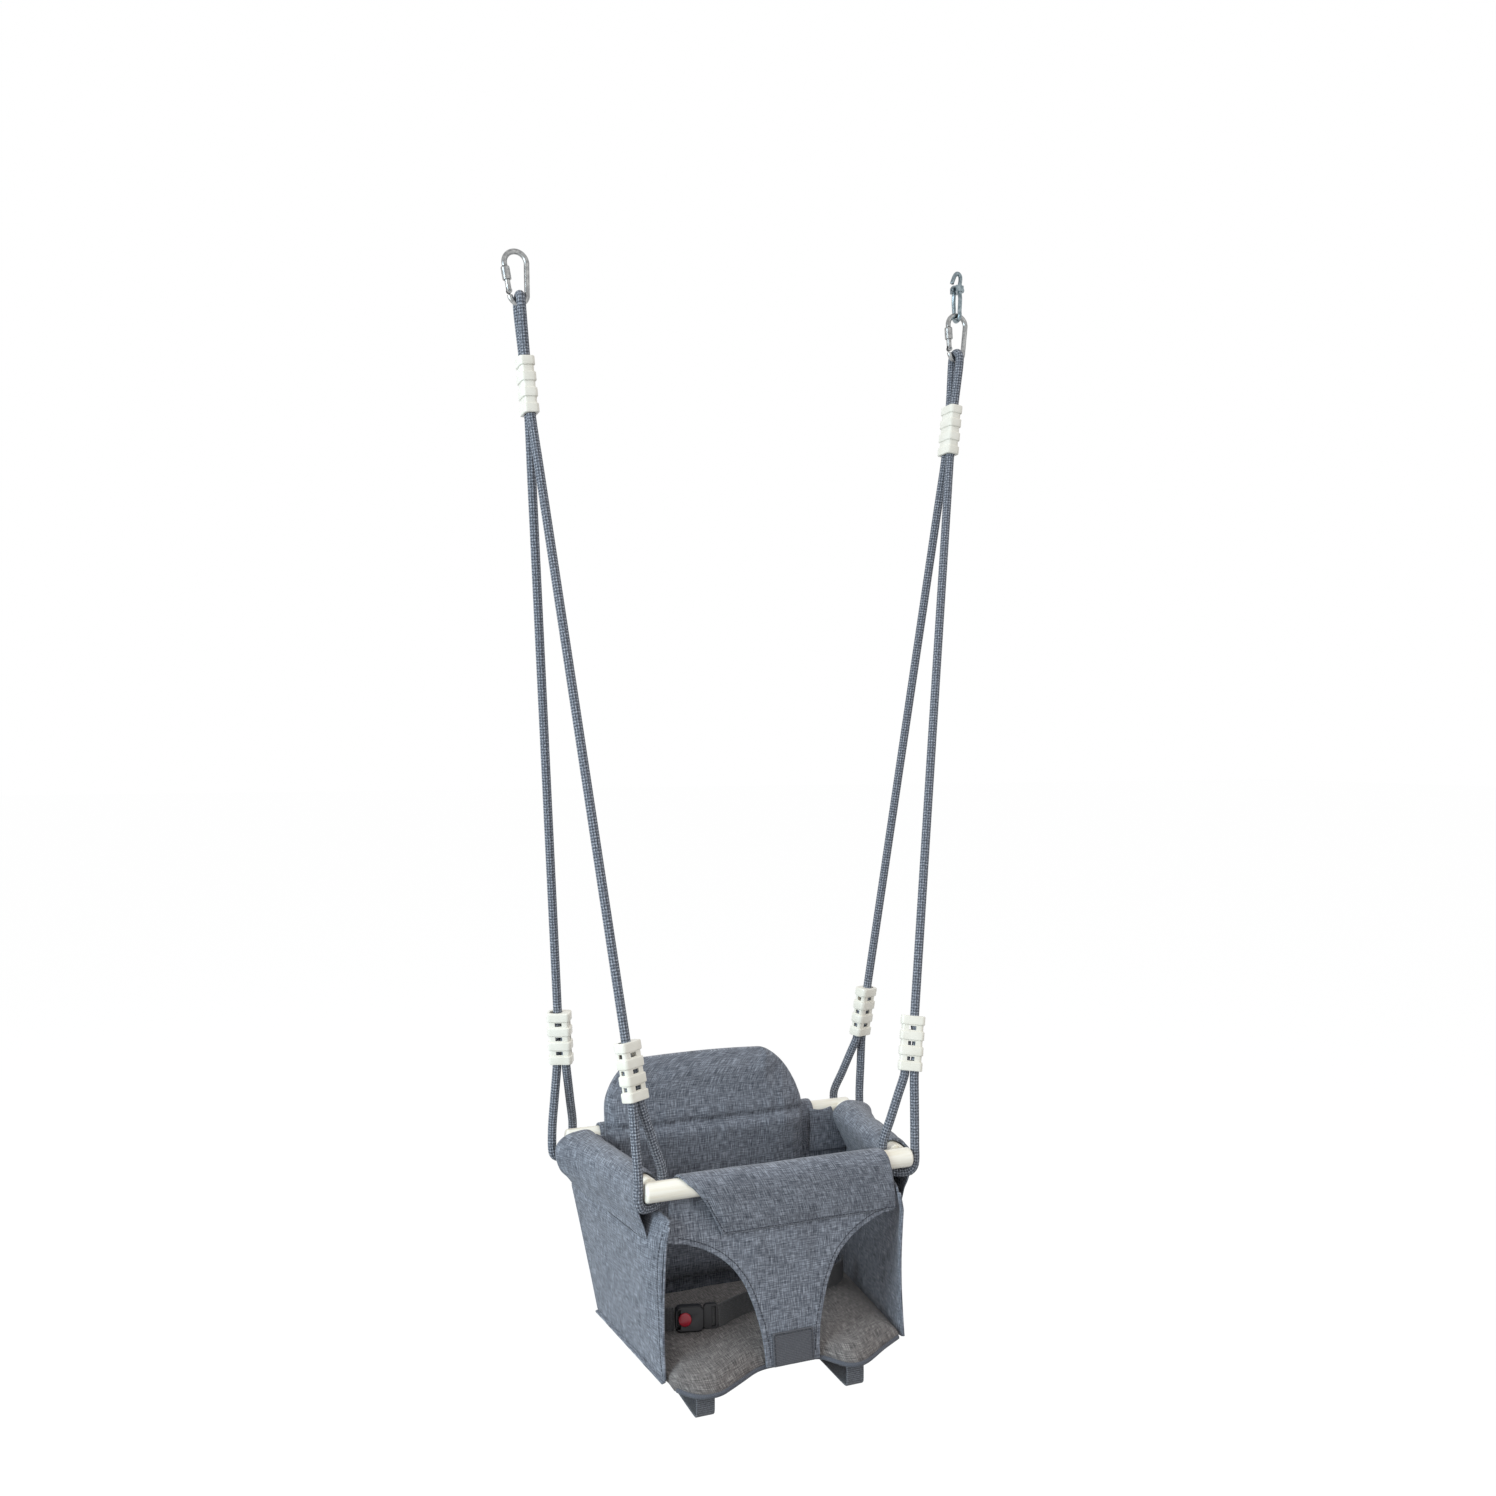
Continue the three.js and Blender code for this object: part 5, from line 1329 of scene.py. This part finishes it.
front_tree = surface_of(panels["front"])
for side_name, side in SIDES:
    sew(f"arch_stitches_{side_name}", front_tree, front_edge_path(side), at(0, -1, 0.1))
band = [at(x, FRONT_STITCH_Y, STITCH_Z + 2.5) for x in np.linspace(-69, 128, 60)]
sew("sleeve_stitches_front_0", front_tree, band, at(0, -1, 0))
flap_line = [at(x, FRONT_STITCH_Y, z)
             for x, z in ((-70, 142), (-73, 147), (-79, 158), (-86, 170), (-91, 180))]
sew("flap_stitches", front_tree, flap_line, at(0, -1, 0))
patch_tree = surface_of(patch)
border = [at(-21, -104, 5), at(-21, -104, 34), at(21, -104, 34), at(21, -104, 5)]
sew("patch_stitches", patch_tree, border, at(0, -1, 0))
for side_name, side in SIDES:
    tree = surface_of(panels[side_name])
    line = [at(side * 150, y, STITCH_Z + 2.5) for y in np.linspace(-58, 98, 50)]
    sew(f"sleeve_stitches_{side_name}", tree, line, at(side, 0, 0))
    edge = [at(side * 136, BASE_FRONT_Y + 6 + 6 * math.sin(math.pi * z / STITCH_Z), z)
            for z in np.linspace(4, 150, 50)]
    sew(f"corner_stitches_{side_name}", tree, edge, at(side, 0, 0))


def flange(name, path, out, width=5.0, thickness=2.6):
    """A seam's turned-out edge: a narrow double strip outside a wall."""
    out = unit(out)
    strip(name, np.asarray(path) + out * (width / 2 - 1.2), out, width, thickness, cloth, "seat", 4,
          folds=lambda p: at(0, 0, 0.5 * fold_noise(p, 20, 90.0)))


def front_corner_h(z):
    if z < STITCH_Z:
        return lerp(BASE_FRONT_HALF, BASE_FRONT_HALF - 1, z / STITCH_Z)
    return lerp(135, 131, (z - STITCH_Z) / 20)


for side_name, side in SIDES:
    rim = [at(side * base_half(y), y, 1.4) for y in np.linspace(BASE_FRONT_Y, BASE_REAR_Y, 40)]
    flange(f"base_seam_{side_name}", rim, at(side, 0, -0.25))
    corner = [at(side * front_corner_h(z), BASE_FRONT_Y + bow(z), z) for z in np.linspace(3, 158, 40)]
    flange(f"corner_seam_{side_name}", corner, at(side * 0.35, -1, 0), width=4.6, thickness=2.4)
    rear = [at(side * (rear_corner_h(z) - 0.6), rear_wall_y(z) + CLOTH / 2, z)
            for z in np.linspace(1, 156, 40)]
    flange(f"rear_seam_{side_name}", rear, at(side * 0.3, 1, 0), width=5.4)
    inner = [at(side * (rear_corner_h(z) - 3.6), rear_wall_y(z) + 0.2, z)
             for z in np.linspace(0.5, 158, 40)]
    strip(f"rear_corner_{side_name}", inner, at(1, 0, 0), 5.0, 2.2, cloth, "seat", 4)

# The walls' rear corners, closed with a gusset in front of the rear rod
for side_name, side, inner_x in (("left", -1, 137), ("right", 1, 121)):
    grid = np.zeros((18, 9, 3))
    for r, z in enumerate(np.linspace(143, 197, 18)):
        edge = side_wall_h(112, z) - 0.4
        for c in range(9):
            sag = 1.6 * math.sin(math.pi * r / 17) + 1.0 * math.sin(math.pi * c / 8)
            top = 3.0 * eased(z, 180, 197) * math.sin(math.pi * c / 8)
            back = 113.2 - sag + 2.2 * (1 - eased(c, 0, 2))
            grid[r, c] = (side * lerp(inner_x, edge, c / 8), back, z - top)
    uv = grid.reshape(-1, 3)[:, [0, 2]] * MM
    points = to_part(grid.reshape(-1, 3))
    gusset = piece(f"rear_gusset_{side_name}", points, grid_faces(18, 9), cloth, "seat", uv)
    thicken(gusset, 1.6)
    subdivide(gusset)

# The base's bound front edge
edge = [(x, smooth_edge(x)) for x in np.linspace(-129, 129, 150)]
path = to_part([at(x, y - 0.3, 2.2 - droop(y)) for x, y in edge])
tube("base_binding", even(path, 2.5 * MM), 2.3 * MM, 10, binding, "seat", rounding=1.2 * MM)


# Light and surroundings


def seen_directly(tree):
    """1 for what the camera sees, also by a mirror or through glass, and 0 for what lights the part."""
    rays = tree.nodes.new("ShaderNodeLightPath")
    result = rays.outputs["Is Camera Ray"]
    for ray in ("Is Glossy Ray", "Is Transmission Ray"):
        either = tree.nodes.new("ShaderNodeMath")
        either.operation = "MAXIMUM"
        tree.links.new(result, either.inputs[0])
        tree.links.new(rays.outputs[ray], either.inputs[1])
        result = either.outputs[0]
    return result


world = bpy.data.worlds.new("studio")
bpy.context.scene.world = world
world.use_nodes = True
tree = world.node_tree
background = tree.nodes["Background"]
background.inputs[0].default_value = (1.0, 1.0, 1.0, 1)
background.inputs[1].default_value = 0.98
seen = tree.nodes.new("ShaderNodeBackground")
seen.inputs[0].default_value = (1, 1, 1, 1)
seen.inputs[1].default_value = 1.0
mixer = tree.nodes.new("ShaderNodeMixShader")
for source, target in ((seen_directly(tree), mixer.inputs[0]), (background.outputs[0], mixer.inputs[1]),
                       (seen.outputs[0], mixer.inputs[2]),
                       (mixer.outputs[0], tree.nodes["World Output"].inputs[0])):
    tree.links.new(source, target)


def lamp(name, where, towards, size, power, colour):
    data = bpy.data.lights.new(name, "AREA")
    data.shape = "DISK"
    data.size = size
    data.energy = power
    data.color = colour
    obj = shown(name, data)
    obj.location = where
    obj.rotation_euler = (Vector(towards) - Vector(where)).to_track_quat("-Z", "Y").to_euler()


lamp("key", (-2.3, -0.7, -0.3), (0, 0, -1.05), 1.5, 46, (0.75, 0.91, 1.0))
lamp("fill", (0.9, -2.4, 0.2), (0, 0, -1.0), 2.0, 4, (1.0, 0.985, 0.96))

FLOOR_HALF, FLOOR_Z, FLOOR_LEVEL = 30, -1.62, 0.7
corners = [(x * FLOOR_HALF, y * FLOOR_HALF, FLOOR_Z) for x, y in ((-1, -1), (1, -1), (1, 1), (-1, 1))]
floor = bpy.data.meshes.new("floor")
floor.from_pydata(corners, [], [(0, 1, 2, 3)])
shown("floor", floor)
ground = Nodes("pale_floor", roughness=1.0, specular=0.0)
ground.shader.inputs["Base Color"].default_value = (0.3, 0.3, 0.3, 1)
glow, both = ground.node("ShaderNodeEmission"), ground.node("ShaderNodeAddShader")
ground.link(ground.math("MULTIPLY", seen_directly(ground.tree), FLOOR_LEVEL), glow.inputs["Strength"])
ground.link(ground.shader.outputs[0], both.inputs[0])
ground.link(glow.outputs[0], both.inputs[1])
ground.link(both.outputs[0], ground.tree.nodes["Material Output"].inputs[0])
floor.materials.append(ground.material)

bpy.context.scene.view_settings.view_transform = "Standard"
